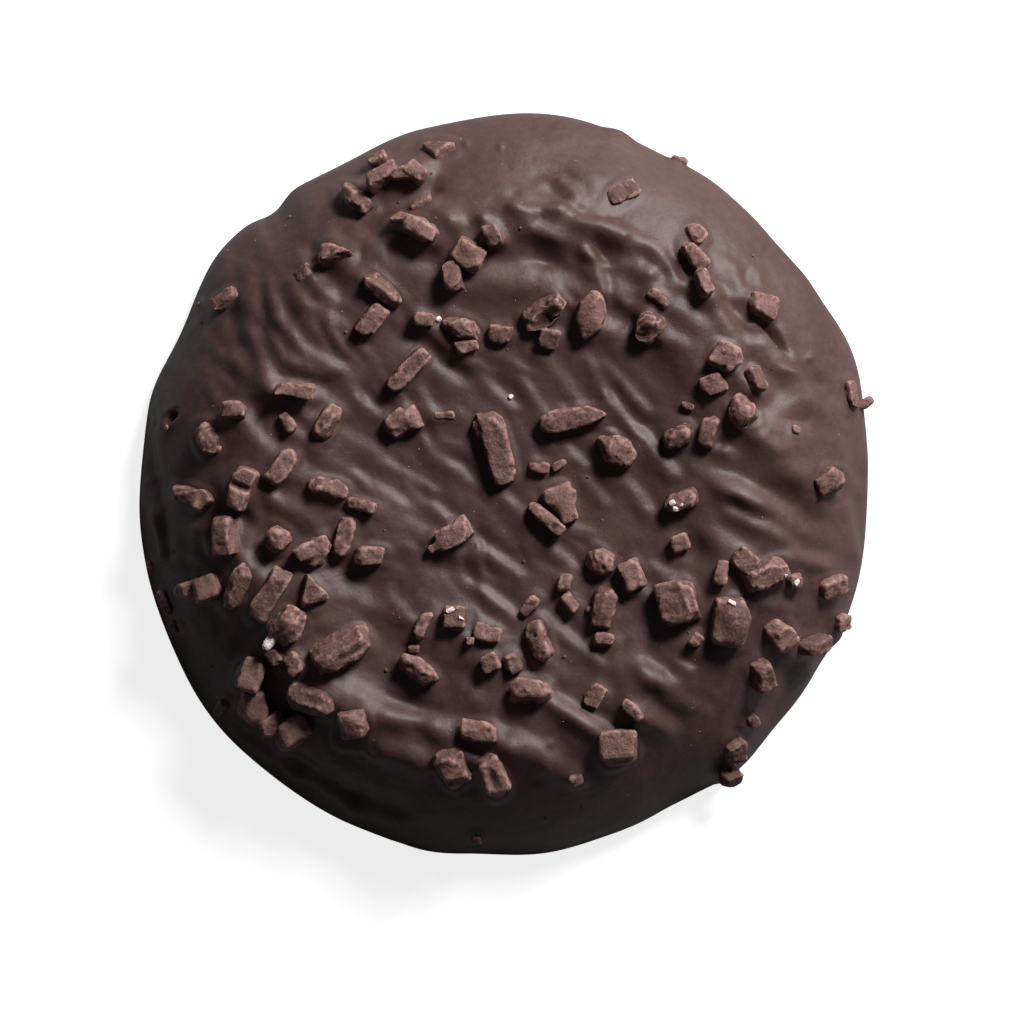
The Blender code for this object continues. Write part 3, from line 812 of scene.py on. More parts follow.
# Size of the coating's uneven swells and how high they stand.
SWELLS = ((6.5, 0.16), (3.2, 0.07), (1.5, 0.025))
FIRST_SWELL_SEED = 3


def facing_of(net):
    """The outward normals of a net, from the steps to its neighbours."""
    across = np.gradient(net, axis=1)
    along = np.gradient(net, axis=0)
    facing = np.cross(across, along)
    return facing / np.linalg.norm(facing, axis=2, keepdims=True)


places = net.reshape(-1, 3)
relief = ripples(places) + folds(places) + ovals(places, LUMPS) + collars(places)
for number, (size, height) in enumerate(SWELLS):
    relief += height * noise_at(places, size, FIRST_SWELL_SEED + number)
relief *= soft_step((places[:, 2] - FOOT_FADE[0]) / (FOOT_FADE[1] - FOOT_FADE[0]))
relief += ovals(places, RIM_BULGES) * soft_step(places[:, 2] / RIM_FADE)
places = places + facing_of(net).reshape(-1, 3) * relief[:, None]
places[:, 2] = np.maximum(places[:, 2], 0.0)
print("relief in mm from", round(float(relief.min()), 2), "to", round(float(relief.max()), 2))

# %% Join the net into a closed skin with a flat base
BASE_RINGS = (0.993, 0.96, 0.88)


def skin_of(places):
    """The net with faces, closed underneath by rings and a last face of triangles."""
    count = NET_CELLS + 1
    corner = np.arange(count * count).reshape(count, count)
    quads = np.stack([corner[:-1, :-1], corner[:-1, 1:], corner[1:, 1:], corner[1:, :-1]], axis=-1)
    mesh = bpy.data.meshes.new("chocolate_coating")
    mesh.from_pydata(places.tolist(), [], quads.reshape(-1, 4).tolist())
    skin = bmesh.new()
    skin.from_mesh(mesh)
    loop = [edge for edge in skin.edges if edge.is_boundary]
    reached = 1.0
    for share in BASE_RINGS:
        made = bmesh.ops.extrude_edge_only(skin, edges=loop)["geom"]
        for vert in (item for item in made if isinstance(item, bmesh.types.BMVert)):
            vert.co.x *= share / reached
            vert.co.y *= share / reached
        loop = [item for item in made if isinstance(item, bmesh.types.BMEdge) and item.is_boundary]
        reached = share
    bmesh.ops.edgeloop_fill(skin, edges=loop)
    bmesh.ops.recalc_face_normals(skin, faces=skin.faces)
    bmesh.ops.triangulate(skin, faces=[face for face in skin.faces if len(face.verts) > 4])
    skin.to_mesh(mesh)
    skin.free()
    return mesh


coating_mesh = skin_of(places)
print("coating faces", len(coating_mesh.polygons))

# %% Where something dropped on the coating comes down
HIGH_ABOVE = 60.0
STEEPEST = 0.05
RIM_HEIGHT = 5.0
coating_surface = surface_of(coating_mesh)


def landing(surface, x, y):
    """The place and the normal where something dropped at x, y comes down, or the rim nearest to it."""
    place, normal, _, _ = surface.ray_cast(Vector((x, y, HIGH_ABOVE)), Vector((0, 0, -1)))
    if place is None or normal.z < STEEPEST:
        place, normal, _, _ = surface.find_nearest(Vector((x, y, RIM_HEIGHT)))
    return place, normal


# %% [markdown]
# ## Chopped chocolate: breaking it
# Chopped chocolate has worn arrises, faces that are dull and grainy where it broke, and little nicks.
# Each piece starts as a simple block with flat faces. Remesh cuts it into small even cells, smoothing
# rounds its arrises, and noise at four sizes dents it, so the roughness is real shape.

# %% Split off corners along random planes
# How far a split faces upwards, and the share of the block that it takes off.
SPLIT_UP = (-0.1, 0.9)
SPLIT_SHARE = (0.03, 0.13)


def cut_off(shape, place, way):
    """Cuts a closed block along the plane through this place and closes it again."""
    parts = [*shape.verts, *shape.edges, *shape.faces]
    cut = bmesh.ops.bisect_plane(shape, geom=parts, dist=1e-5, plane_co=place, plane_no=way, clear_outer=True)
    rim = [item for item in cut["geom_cut"] if isinstance(item, bmesh.types.BMEdge)]
    bmesh.ops.contextual_create(shape, geom=rim)
    bmesh.ops.recalc_face_normals(shape, faces=shape.faces)


def split(shape, seed, splits):
    """Cuts thin slices off a closed block, each square to a random direction."""
    chance = random.Random(seed)
    for _ in range(splits):
        height = chance.uniform(*SPLIT_UP)
        turn = chance.uniform(0, math.tau)
        flat = math.sqrt(1 - height * height)
        way = Vector((flat * math.cos(turn), flat * math.sin(turn), height))
        reach = [vert.co.dot(way) for vert in shape.verts]
        low, high = min(reach), max(reach)
        cut_off(shape, way * (high - chance.uniform(*SPLIT_SHARE) * (high - low)), way)
    return shape


# %% Round off and roughen
CELL = 0.24
# Size of the bumps and how high they stand, in millimetres.
ROUGHNESS = ((3.0, 0.3), (1.5, 0.2), (0.8, 0.1), (0.42, 0.035))
ROUGH_SHIFT = (3.7, 11.9, 7.3)
# Size and depth of the nicks, and how strong their noise must be to make one.
NICK = (0.9, 0.5, 0.22)


def smoothed(shape, rounds):
    """Where the points of a shape lie after this many rounds of smoothing."""
    copy = shape.copy()
    for _ in range(rounds):
        bmesh.ops.smooth_vert(
            copy, verts=copy.verts, factor=0.5, use_axis_x=True, use_axis_y=True, use_axis_z=True
        )
    places = [vert.co.copy() for vert in copy.verts]
    copy.free()
    return places


def broken(shape, seed, rounding, cell, strength):
    """Turns a closed block with flat faces into a rough broken piece."""
    mesh = modified(shape, "REMESH", mode="VOXEL", voxel_size=cell)
    rough = bmesh.new()
    rough.from_mesh(mesh)
    bpy.data.meshes.remove(mesh)
    for vert, place in zip(rough.verts, smoothed(rough, rounding)):
        vert.co = place
    rough.normal_update()
    shift = Vector([seed * step for step in ROUGH_SHIFT])
    nick_size, nick_depth, nick_from = NICK
    moved = []
    for vert in rough.verts:
        out = -nick_depth * max(0.0, noise.noise(vert.co / nick_size - shift) - nick_from)
        for size, height in ROUGHNESS:
            out += height * noise.noise(vert.co / size + shift)
        moved.append(vert.co + vert.normal * out * strength)
    for vert, place in zip(rough.verts, moved):
        vert.co = place
    rough.normal_update()
    return rough


# %% Gather many pieces into one mesh, with their tone and how far each point stands out, for pale arrises and painted pit shade, as attributes
WEAR_AND_PAINTED_LIGHT_ROUNDS = 5


class Heap:
    """Collects separate closed pieces and makes one mesh of them."""

    def __init__(self):
        self.places, self.faces, self.tones, self.wear_and_painted_light = [], [], [], []

    def add(self, shape, tone):
        """How many millimetres a point stands out from its smoothed surroundings; it drives worn and highlit
        arrises and painted pit shade.
        """
        first = len(self.places)
        shape.verts.index_update()
        for vert, place in zip(shape.verts, smoothed(shape, WEAR_AND_PAINTED_LIGHT_ROUNDS)):
            self.places.append(vert.co * MM)
            self.wear_and_painted_light.append((vert.co - place).dot(vert.normal))
            self.tones.append(tone)
        for face in shape.faces:
            self.faces.append([first + vert.index for vert in face.verts])
        shape.free()

    def piece(self, name):
        mesh = bpy.data.meshes.new(name)
        mesh.from_pydata(self.places, [], self.faces)
        for attribute, values in (("tone", self.tones), ("wear_and_painted_light", self.wear_and_painted_light)):
            mesh.attributes.new(attribute, "FLOAT", "POINT").data.foreach_set("value", values)
        mesh.shade_smooth()
        print(name, "faces", len(mesh.polygons))
        return placed(name, mesh)


# %% [markdown]
# ## Chopped chocolate: a block to start from
# The convex hull of a few scattered corners looks like a thing that was snapped off. Some blocks are bowed
# like a shaving. Every small piece starts as one, and so does each lobe that fills out a large chip.

# %% A small block with missing corners
# Two points stand for each corner, at least this share of the way out. One more point near the middle of
# each end and side reaches the full length or width.
CORNER_LEAST = 0.5
END_ASIDE = (-0.4, 0.4)
END_UP = (-0.3, 0.5)


def scattered_corners(half, chance, least):
    """The points that the block's hull is drawn round."""
    for sides in itertools.product((-1, 1), repeat=3):
        for _ in range(2):
            pulled = Vector([chance.uniform(least, 1.0) for _ in range(3)])
            yield [side * share * reach for side, share, reach in zip(sides, pulled, half)]
    for end in (-1, 1):
        aside, up = chance.uniform(*END_ASIDE), chance.uniform(*END_UP)
        yield end * half.x, aside * half.y, up * half.z
        aside, up = chance.uniform(*END_ASIDE), chance.uniform(*END_UP)
        yield aside * half.x, end * half.y, up * half.z


def small_block(length, width, height, bow, chance, least=CORNER_LEAST):
    """A closed block round the origin with chipped corners, bowed sideways by this much."""
    block = bmesh.new()
    half = Vector((length / 2, width / 2, height / 2))
    for corner in scattered_corners(half, chance, least):
        block.verts.new(corner)
    hull = bmesh.ops.convex_hull(block, input=block.verts)
    inside = hull["geom_interior"] + hull["geom_unused"]
    spare = {item for item in inside if isinstance(item, bmesh.types.BMVert)}
    bmesh.ops.delete(block, geom=list(spare), context="VERTS")
    for vert in block.verts:
        vert.co.y += bow * (1 - (vert.co.x / half.x) ** 2)
    bmesh.ops.recalc_face_normals(block, faces=block.faces)
    return block


# %% Set a piece down on a surface
LEAN = 0.85


def set_down(shape, surface, x, y, height, turn, sunk, lean=LEAN):
    """Stands a piece on the surface, turned, leaning with the slope and sunk by a share of its height."""
    place, normal = landing(surface, x, y)
    up = (normal * lean + Vector((0, 0, 1 - lean))).normalized()
    heading = direction(turn, 0)
    heading = (heading - up * heading.dot(up)).normalized()
    axes = Matrix((heading, up.cross(heading), up)).transposed()
    middle = place + up * height * (0.5 - sunk)
    bmesh.ops.transform(shape, matrix=Matrix.Translation(middle) @ axes.to_4x4(), verts=shape.verts)


# %% [markdown]
# ## Chopped chocolate: the large chips
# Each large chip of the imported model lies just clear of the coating. Here a merged copy of it gets its
# lowest points pushed down into the coating, so that no gap shows. Some chips get lobes, which are plain
# blocks joined on by the remeshing, and a few are shortened by a straight break. Then all are roughened.

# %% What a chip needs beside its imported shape
# Lobes that fill out a chip: x, y, length, width, height, turn and share by which they lean with the slope.
LOBES = {
    "roof_chip_03": ((-10.5, 32.0, 5.0, 2.1, 3.8, -28, 0.2),),
    "lump_chip_12": ((27.5, 16.0, 4.0, 3.4, 2.8, -28, 0.4),),
    "lump_chip_15": ((40.2, 0.7, 3.7, 3.0, 3.6, 30, 0.2),),
    "wedge_chip_17": ((-13.3, 7.8, 3.4, 3.2, 2.3, 40, 0.4),),
    "slab_chip_18": ((-2.6, 7.3, 2.4, 2.8, 2.0, -76, 0.4),),
    "wedge_chip_25": ((-39.3, -1.2, 4.8, 2.2, 2.0, -12, 0.4), (-37.6, -1.6, 2.4, 2.6, 2.2, -60, 0.4)),
    "slab_chip_29": ((-23.8, -8.2, 3.4, 3.0, 2.6, 45, 0.4),),
    "wedge_chip_32": ((-6.5, -6.2, 4.4, 2.9, 2.4, 22, 0.4), (-8.4, -7.4, 2.8, 1.3, 1.4, 32, 0.4)),
    "wedge_chip_33": ((6.9, -1.4, 4.2, 2.4, 2.2, -4, 0.4), (7.7, -2.9, 3.8, 2.4, 2.2, -70, 0.4)),
    "roof_chip_37": ((12.3, -15.6, 4.6, 3.0, 2.4, 80, 0.4),),
    "lump_chip_40": ((27.6, -17.0, 6.4, 3.6, 2.8, 84, 0.1),),
    "slab_chip_42": ((34.2, -18.5, 4.0, 2.8, 2.8, -52, 0.1),),
    "lump_chip_44": ((14.0, -32.2, 5.4, 3.8, 3.2, 4, 0.1),),
    "slab_chip_46": ((-6.5, -34.8, 4.4, 3.6, 3.4, -76, 0.1),),
    "roof_chip_47": ((-1.5, -36.0, 5.2, 3.6, 3.4, -68, 0.1),),
    "wedge_chip_49": (
        (-39.8, -13.0, 3.2, 1.4, 4.4, 8, 0.0),
        (-38.7, -12.8, 4.0, 2.2, 4.4, 12, 0.0),
        (-37.2, -12.6, 3.6, 3.2, 4.4, 16, 0.0),
    ),
    "lump_chip_53": ((-26.6, -17.2, 4.6, 3.4, 3.2, 64, 0.2),),
    "roof_chip_54": ((-20.3, -20.0, 8.2, 4.2, 2.3, 27, 0.3),),
    "lump_chip_55": ((-31.6, -23.5, 4.6, 3.4, 4.4, 72, 0.0),),
    "lump_chip_56": ((-31.1, -27.4, 4.6, 3.4, 4.4, -80, 0.0),),
    "slab_chip_58": ((-26.3, -30.5, 4.2, 3.6, 4.4, 30, 0.0),),
}
# Straight breaks that shorten a chip: a place on the break and the way that it faces.
TRIMS = {
    "slab_chip_19": ((11.0, 9.8, 71), (11.4, 8.1, -67)),
    "slab_chip_27": ((-36.4, -6.0, 180),),
    "slab_chip_42": ((35.7, -20.2, -50),),
    "slab_chip_59": ((-20.7, -29.7, 190), (-18.5, -31.5, -80), (-16.9, -30.6, -40)),
}
# Chips with a smooth top, and how dark or light some chips are, partly by their own colour and partly as
# painted light or painted shade.
SMOOTH_CHIPS = {
    "lump_chip_10", "lump_chip_15", "lump_chip_34", "lump_chip_40", "lump_chip_44", "lump_chip_55",
    "lump_chip_56", "roof_chip_37", "roof_chip_54", "roof_chip_57", "slab_chip_58", "slab_chip_59",
    "wedge_chip_01", "wedge_chip_33", "wedge_chip_49",
}
TONES_AND_PAINTED_LIGHT = {
    "wedge_chip_01": -0.5,
    "roof_chip_02": -0.8,
    "roof_chip_03": 1.2,
    "roof_chip_09": -1.6,
    "lump_chip_10": 1.0,
    "lump_chip_11": -2.4,
    "lump_chip_14": -2.8,
    "slab_chip_16": -0.8,
    "wedge_chip_17": 0.8,
    "slab_chip_18": -0.8,
    "lump_chip_21": -1.4,
    "slab_chip_31": 0.8,
    "wedge_chip_32": 0.8,
    "wedge_chip_33": 1.6,
    "lump_chip_40": -0.8,
    "slab_chip_42": 2.0,
    "lump_chip_43": 3.0,
    "lump_chip_44": 0.4,
    "slab_chip_45": 1.2,
    "roof_chip_47": 0.8,
    "wedge_chip_49": 1.6,
    "lump_chip_55": 1.6,
    "lump_chip_56": 1.6,
}
# Hollows and ridges on the chips, as the lumps of the coating are given.
CHIP_RELIEF = (
    (5.2, 20.6, 1.9, 1.2, 40, -1.8),
    (17.0, 19.0, 1.1, 1.4, 0, -1.2),
    (-24.0, -26.8, 1.6, 0.6, -15, -0.5),
    (-1.5, -36.4, 1.6, 0.5, -72, -0.55),
    (-33.1, 0.0, 2.4, 0.4, -22, -0.7),
    (22.8, -14.8, 3.0, 0.4, -72, 0.3),
    (-19.0, -20.8, 2.0, 0.3, 30, -0.3),
)

# %% Root a chip in the coating and roughen it
# The lowest points of a chip, up to this share of its height, go this much deeper.
ROOT_SHARE = 0.35
ROOT_DEPTH = 0.75
LOBE_LEAST = 0.62
LOBE_SUNK = 0.25
SPLIT_SEED = 60
TONE_SEED = 20
# How many slices are split off each kind of chip, how many rounds of smoothing round off its arrises, and
# how rough its faces are.
KINDS = {"slab": (3, 3, 0.65), "wedge": (2, 3, 0.7), "roof": (5, 4, 0.75), "lump": (8, 5, 1.0)}
SMOOTH_KIND = (2, 9, 0.55)


def rooted(node_name):
    """A copy of a packed chip whose underside is pushed into the coating."""
    chip = merged_copy(node_name)
    middle_x, middle_y = CHIP_OUTLINES[node_name][:2]
    _, normal = landing(coating_surface, middle_x, middle_y)
    rises = [vert.co.dot(normal) for vert in chip.verts]
    low, high = min(rises), max(rises)
    for vert, rise in zip(chip.verts, rises):
        if rise < low + ROOT_SHARE * (high - low):
            vert.co -= normal * ROOT_DEPTH
    return chip


def filled_out(chip, lobes, chance):
    """Puts blocks round a chip. The remeshing that comes next makes one skin of them all."""
    for x, y, length, width, height, turn, lean in lobes:
        block = small_block(length, width, height, 0.0, chance, LOBE_LEAST)
        set_down(block, coating_surface, x, y, height, turn, LOBE_SUNK, lean)
        mesh = bpy.data.meshes.new("lobe")
        block.to_mesh(mesh)
        block.free()
        chip.from_mesh(mesh)
        bpy.data.meshes.remove(mesh)
    return chip


def large_chip(node_name, splits, rounding, strength):
    """A packed chip, finished: rooted, split, trimmed, filled out and roughened."""
    number = int(node_name[-2:])
    chip = split(rooted(node_name), SPLIT_SEED + number, splits)
    for x, y, turn in TRIMS.get(node_name, ()):
        cut_off(chip, Vector((x, y, 0)), direction(turn, 0))
    chip = filled_out(chip, LOBES.get(node_name, ()), random.Random(number))
    chip = broken(chip, number, rounding, CELL, strength)
    relief = ovals(np.array([vert.co for vert in chip.verts]), CHIP_RELIEF)
    for vert, rise in zip(chip.verts, relief):
        vert.co.z += rise * max(0.0, vert.normal.z)
    chip.normal_update()
    return chip


draw = random.Random(TONE_SEED)
large_chips = {}
for kind, (splits, rounding, strength) in KINDS.items():
    heap = Heap()
    for node_name in (name for name in CHIP_NODES if name.startswith(kind)):
        settings = SMOOTH_KIND if node_name in SMOOTH_CHIPS else (splits, rounding, strength)
        heap.add(large_chip(node_name, *settings), TONES_AND_PAINTED_LIGHT.get(node_name, draw.uniform(-1, 1)))
    large_chips[kind] = heap.piece(kind + "_chips")

# %% [markdown]
# ## Chopped chocolate: the small pieces
# Between the chips lie some seventy smaller pieces. Each is a block of its own size and turn, set down on
# the coating and then roughened in the same way as a chip.

# %% Break, set down and roughen the small pieces
TALLER = 1.3
SMALL_SEED = 400
SMALL_ROUGH_SEED = 80
# Rounds of smoothing, size of a cell and roughness, as for the large chips.
SMALL_BREAK = (4, 0.2, 0.75)

heap = Heap()
for number, (x, y, length, width, height, turn, sunk, bow) in enumerate(SMALL_PIECES):
    chance = random.Random(SMALL_SEED + number)
    block = small_block(length, width, height * TALLER, bow, chance)
    lean = 0.0 if (x, y) in UPRIGHT else LEAN
    set_down(block, coating_surface, x, y, height * TALLER, turn, sunk, lean)
    piece = broken(block, SMALL_ROUGH_SEED + number, *SMALL_BREAK)
    heap.add(piece, PIECE_TONES_AND_PAINTED_LIGHT.get((x, y), chance.uniform(-1, 1)))
small_pieces = heap.piece("small_pieces")

# %% [markdown]
# ## Pale bits
# A few pale bits lie among the dark pieces: some are crumbs of sugar, and some are white flecks that
# stand for glints, a painted highlight. They are set down on whatever lies there, so the surface to land
# on now includes every chip.

# %% Sugar crumbs and flecks of painted highlight: x, y, length, width, height, turn
SUGAR_AND_GLINT_FLECKS = (
    (-29.0, -19.0, 1.2, 1.0, 2.6, 30),
    (-6.8, -15.5, 1.3, 0.8, 0.5, 20),
    (-5.4, -16.5, 0.9, 0.4, 0.4, -30),
    (28.4, -14.6, 1.2, 0.7, 0.5, -30),
    (20.9, -2.1, 0.8, 0.6, 0.5, 20),
    (21.4, -2.9, 0.8, 0.6, 0.5, -10),
    (22.0, -2.4, 0.7, 0.5, 0.4, 40),
    (35.1, -11.2, 0.8, 0.6, 0.5, 0),
    (36.4, -12.0, 1.0, 0.7, 0.5, 30),
    (0.7, 11.1, 0.8, 0.6, 0.6, 40),
    (-8.3, 20.8, 0.7, 0.6, 0.6, 30),
)
SUGAR_AND_GLINT_SEED = 900
SUGAR_AND_GLINT_ROUGH_SEED = 160
SUGAR_AND_GLINT_BREAK = (2, 0.1, 0.7)
SUGAR_AND_GLINT_SUNK = 0.3

coating_mesh.transform(Matrix.Scale(MM, 4))
everything = [coating_mesh, small_pieces.data, *[made.data for made in large_chips.values()]]
whole_surface = surface_of(*everything, scale=1 / MM)
heap = Heap()
for number, (x, y, length, width, height, turn) in enumerate(SUGAR_AND_GLINT_FLECKS):
    chance = random.Random(SUGAR_AND_GLINT_SEED + number)
    block = small_block(length, width, height, 0.0, chance)
    set_down(block, whole_surface, x, y, height, turn, SUGAR_AND_GLINT_SUNK)
    heap.add(broken(block, SUGAR_AND_GLINT_ROUGH_SEED + number, *SUGAR_AND_GLINT_BREAK), chance.uniform(-1, 1))
sugar_and_glint_flecks = heap.piece("sugar_and_glint_flecks")

# %% [markdown]
# ## The coating becomes a piece
# Its mesh went back from millimetres to metres above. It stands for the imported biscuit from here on.

# %% Make the coating's object
coating_mesh.shade_smooth()
coating = placed("chocolate_coating", coating_mesh)
print("coating points", len(coating_mesh.vertices))

# %% [markdown]
# ## Shader maths as Python
# A small class wraps a shader socket. Adding or multiplying two of them adds the Math node for it, so a
# mask reads as a formula. Everything else comes from one method that makes a node.

# %% Sockets that can be calculated with
class Reading:
    """A socket whose value differs over the surface."""

    def __init__(self, finish, socket):
        self.finish = finish
        self.socket = socket

    def maths(self, operation, first, second):
        return self.finish.node("ShaderNodeMath", {"operation": operation}, {0: first, 1: second})

    def __add__(self, other):
        return self.maths("ADD", self, other)

    __radd__ = __add__

    def __sub__(self, other):
        return self.maths("SUBTRACT", self, other)

    def __rsub__(self, other):
        return self.maths("SUBTRACT", other, self)

    def __mul__(self, other):
        return self.maths("MULTIPLY", self, other)

    __rmul__ = __mul__

    def above(self, low, high):
        """0 below low, 1 above high and a smooth rise between them."""
        settings = {"interpolation_type": "SMOOTHSTEP"}
        limits = {"Value": self, "From Min": low, "From Max": high, "To Min": 0.0, "To Max": 1.0}
        return self.finish.node("ShaderNodeMapRange", settings, limits)


# %% A finish: one material and its nodes
class Finish:
    """Builds one material."""

    def __init__(self, name, **same_all_over):
        self.material = bpy.data.materials.new(name)
        self.material.use_nodes = True
        self.tree = self.material.node_tree
        self.shader = self.tree.nodes["Principled BSDF"]
        for socket, value in same_all_over.items():
            self.shader.inputs[socket.replace("_", " ")].default_value = value
        place = self.node("ShaderNodeTexCoord", {}, {}, "Object")
        to_mm = (1 / MM, 1 / MM, 1 / MM)
        self.place = self.node("ShaderNodeMapping", {}, {"Vector": place, "Scale": to_mm})

    def node(self, kind, settings, inputs, output=0):
        made = self.tree.nodes.new(kind)
        for setting, value in settings.items():
            setattr(made, setting, value)
        for socket, value in inputs.items():
            self.feed(made.inputs[socket], value)
        return Reading(self, made.outputs[output])

    def feed(self, socket, value):
        if isinstance(value, Reading):
            self.tree.links.new(value.socket, socket)
        else:
            socket.default_value = value

    def grain(self, size, detail=2.0, roughness=0.5):
        """Noise from 0 to 1 whose bumps are this many millimetres across."""
        inputs = {"Vector": self.place, "Scale": 1 / size, "Detail": detail, "Roughness": roughness}
        return self.node("ShaderNodeTexNoise", {"noise_dimensions": "3D"}, inputs)

    def attribute(self, name):
        return self.node("ShaderNodeAttribute", {"attribute_name": name}, {}, "Fac")

    def blend(self, share, first, second):
        return self.node("ShaderNodeMix", {"data_type": "RGBA"}, {0: share, 6: first, 7: second}, 2)

    def bump(self, height, distance, strength):
        inputs = {"Height": height, "Distance": distance, "Strength": strength}
        return self.node("ShaderNodeBump", {}, inputs)

    def shade(self, **varying):
        for socket, value in varying.items():
            self.feed(self.shader.inputs[socket.replace("_", " ")], value)
        return self.material


# %% [markdown]
# ## Finish of the coating
# Dark chocolate that has set well is a satin brown, with a little violet in it. It isn't even: thin
# places and fat bloom shift it, tiny pores break up its shine, and a few pale specks of cocoa dust lie
# on it. Colour, roughness and bump all come from noise in millimetres. The base set on a smooth belt, so
# it is shinier and bears the belt's weave and the small hollows left by trapped air.

# %% Satin dark chocolate
COATING_DEEP = (0.055, 0.0272, 0.0245, 1.0)
COATING_WARM = (0.078, 0.0405, 0.0365, 1.0)
COATING_BLOOM = (0.15, 0.098, 0.09, 1.0)
WEAVE = 3.2
AIR_HOLLOWS = 5.0
# A wave texture of scale 1 repeats every 0.314 units.
WAVE_UNIT = math.pi / 10


def satin_chocolate():
    finish = Finish("satin_dark_chocolate", IOR=1.46, Specular_IOR_Level=0.34)
    cloudy = finish.grain(14.0, 3.0)
    mottled = finish.grain(1.1, 3.0, 0.6)
    fine = finish.grain(0.16, 2.0, 0.6)
    specks = finish.grain(0.42, 1.0)
    tone = (cloudy * 0.6 + mottled * 0.4).above(0.35, 0.65)
    colour = finish.blend(tone, COATING_DEEP, COATING_WARM)
    dust = specks.above(0.74, 0.8) * 0.5 + fine.above(0.6, 0.85) * 0.12
    colour = finish.blend(dust, colour, COATING_BLOOM)
    base = 1 - finish.node("ShaderNodeSeparateXYZ", {}, {0: finish.place}, 2).above(0.02, 0.2)
    lines = {"Vector": finish.place, "Scale": WAVE_UNIT / WEAVE, "Distortion": 1.2, "Detail Scale": 0.3}
    weft = finish.node("ShaderNodeTexWave", {"bands_direction": "X"}, lines, 1)
    warp = finish.node("ShaderNodeTexWave", {"bands_direction": "Y"}, lines, 1)
    cells = finish.node("ShaderNodeTexVoronoi", {}, {"Vector": finish.place, "Scale": 1 / AIR_HOLLOWS})
    weave = (weft.above(0.5, 1.0) + warp.above(0.5, 1.0)) * cloudy.above(0.3, 0.65)
    marks = 0.35 * weave + 2.5 * cells.above(0.05, 0.16)
    rough = 0.32 + 0.12 * mottled + 0.16 * cloudy + 0.06 * fine - 0.1 * base
    height = mottled * (1 - 0.7 * base) + fine * 0.2 - specks.above(0.7, 0.8) * 0.2 + base * marks
    return finish.shade(Base_Color=colour, Roughness=rough, Normal=finish.bump(height, 0.00009, 0.8))


coating_mesh.materials.append(satin_chocolate())
print("coating finish", coating_mesh.materials[0].name)

# %% [markdown]
# ## Finish of the chopped chocolate
# Broken chocolate scatters light in its rough face, so it looks drier, lighter and redder than the
# coating. Arrises are painted pale, partly as worn edges and partly as a painted highlight, and pits
# get painted shade. How far each point stands out, measured on each point, tells the two apart, and each
# piece has a tone of its own, which on some chips is painted light or painted shade.

# %% Dry broken chocolate
BROKEN_DARK = (0.088, 0.043, 0.0362, 1.0)
BROKEN_LIGHT = (0.176, 0.092, 0.0795, 1.0)
RUBBED_AND_HIGHLIT_PALE = (0.3, 0.176, 0.149, 1.0)
PAINTED_PIT_SHADE = (0.04, 0.0188, 0.016, 1.0)


def broken_chocolate():
    finish = Finish("broken_dark_chocolate", IOR=1.45, Specular_IOR_Level=0.25)
    cloudy = finish.grain(1.9, 3.0, 0.6)
    grainy = finish.grain(0.42, 3.0, 0.65)
    powder = finish.grain(0.11, 1.0)
    # The tone attribute is the piece's own tone and, on some chips, painted light or painted shade.
    tone = (cloudy * 0.4 + grainy * 0.6 + finish.attribute("tone") * 0.07).above(0.36, 0.62)
    colour = finish.blend(tone, BROKEN_DARK, BROKEN_LIGHT)
    wear_and_painted_light = finish.attribute("wear_and_painted_light")
    # Pits are darkened here: painted shade.
    colour = finish.blend(0.8 - 0.8 * wear_and_painted_light.above(-0.07, -0.01), colour, PAINTED_PIT_SHADE)
    # Arrises are made paler here: partly worn edges, partly a painted highlight.
    rubbed_and_highlit = wear_and_painted_light.above(0.015, 0.065) * grainy.above(0.2, 0.55) * 0.9
    colour = finish.blend(rubbed_and_highlit + powder.above(0.68, 0.85) * 0.2, colour, RUBBED_AND_HIGHLIT_PALE)
    rough = 0.56 + 0.2 * grainy
    height = cloudy * 0.4 + grainy + powder * 0.3
    return finish.shade(Base_Color=colour, Roughness=rough, Normal=finish.bump(height, 0.00016, 0.9))


dry_chocolate = broken_chocolate()
for made in [*large_chips.values(), small_pieces]:
    made.data.materials.append(dry_chocolate)

# %% [markdown]
# ## Finish of the sugar and the painted glints
# Sugar crumbs are white with a warm tint where chocolate dust rubbed off on them. The flecks that stand
# for glints take the same near-white, as a painted highlight.

# %% Dusted sugar, also the white of the painted glints
SUGAR_AND_GLINT_WARM = (0.4, 0.3, 0.27, 1.0)
SUGAR_AND_GLINT_WHITE = (0.78, 0.7, 0.65, 1.0)


def sugar_and_glint_finish():
    finish = Finish("sugar_and_glint_finish", IOR=1.5)
    grainy = finish.grain(0.25, 2.0, 0.6)
    colour = finish.blend(grainy.above(0.35, 0.6), SUGAR_AND_GLINT_WARM, SUGAR_AND_GLINT_WHITE)
    rough = 0.45 + 0.2 * grainy
    return finish.shade(Base_Color=colour, Roughness=rough, Normal=finish.bump(grainy, 0.00008, 0.8))


sugar_and_glint_flecks.data.materials.append(sugar_and_glint_finish())

# %% [markdown]
# ## Specks, strewn by Geometry Nodes
# Some hundred and sixty pale specks and thirty tiny crumbs lie on the coating. One small node tree strews
# both: it takes the coating as its input, picks random places on the upper side and puts a tiny grain on
# each, with its own size and turn.

# %% The tree that strews grains
GRAIN_INPUTS = {
    "Geometry": "Geometry",
    "Density": "Float",
    "Smallest": "Float",
    "Largest": "Float",
    "Seed": "Int",
    "Material": "Material",
}
# Grains lie only where the coating looks up at least this much.
LOOKS_UP = 0.35
NO_TURN = (0.0, 0.0, 0.0)
FULL_TURN = (math.tau, math.tau, math.tau)


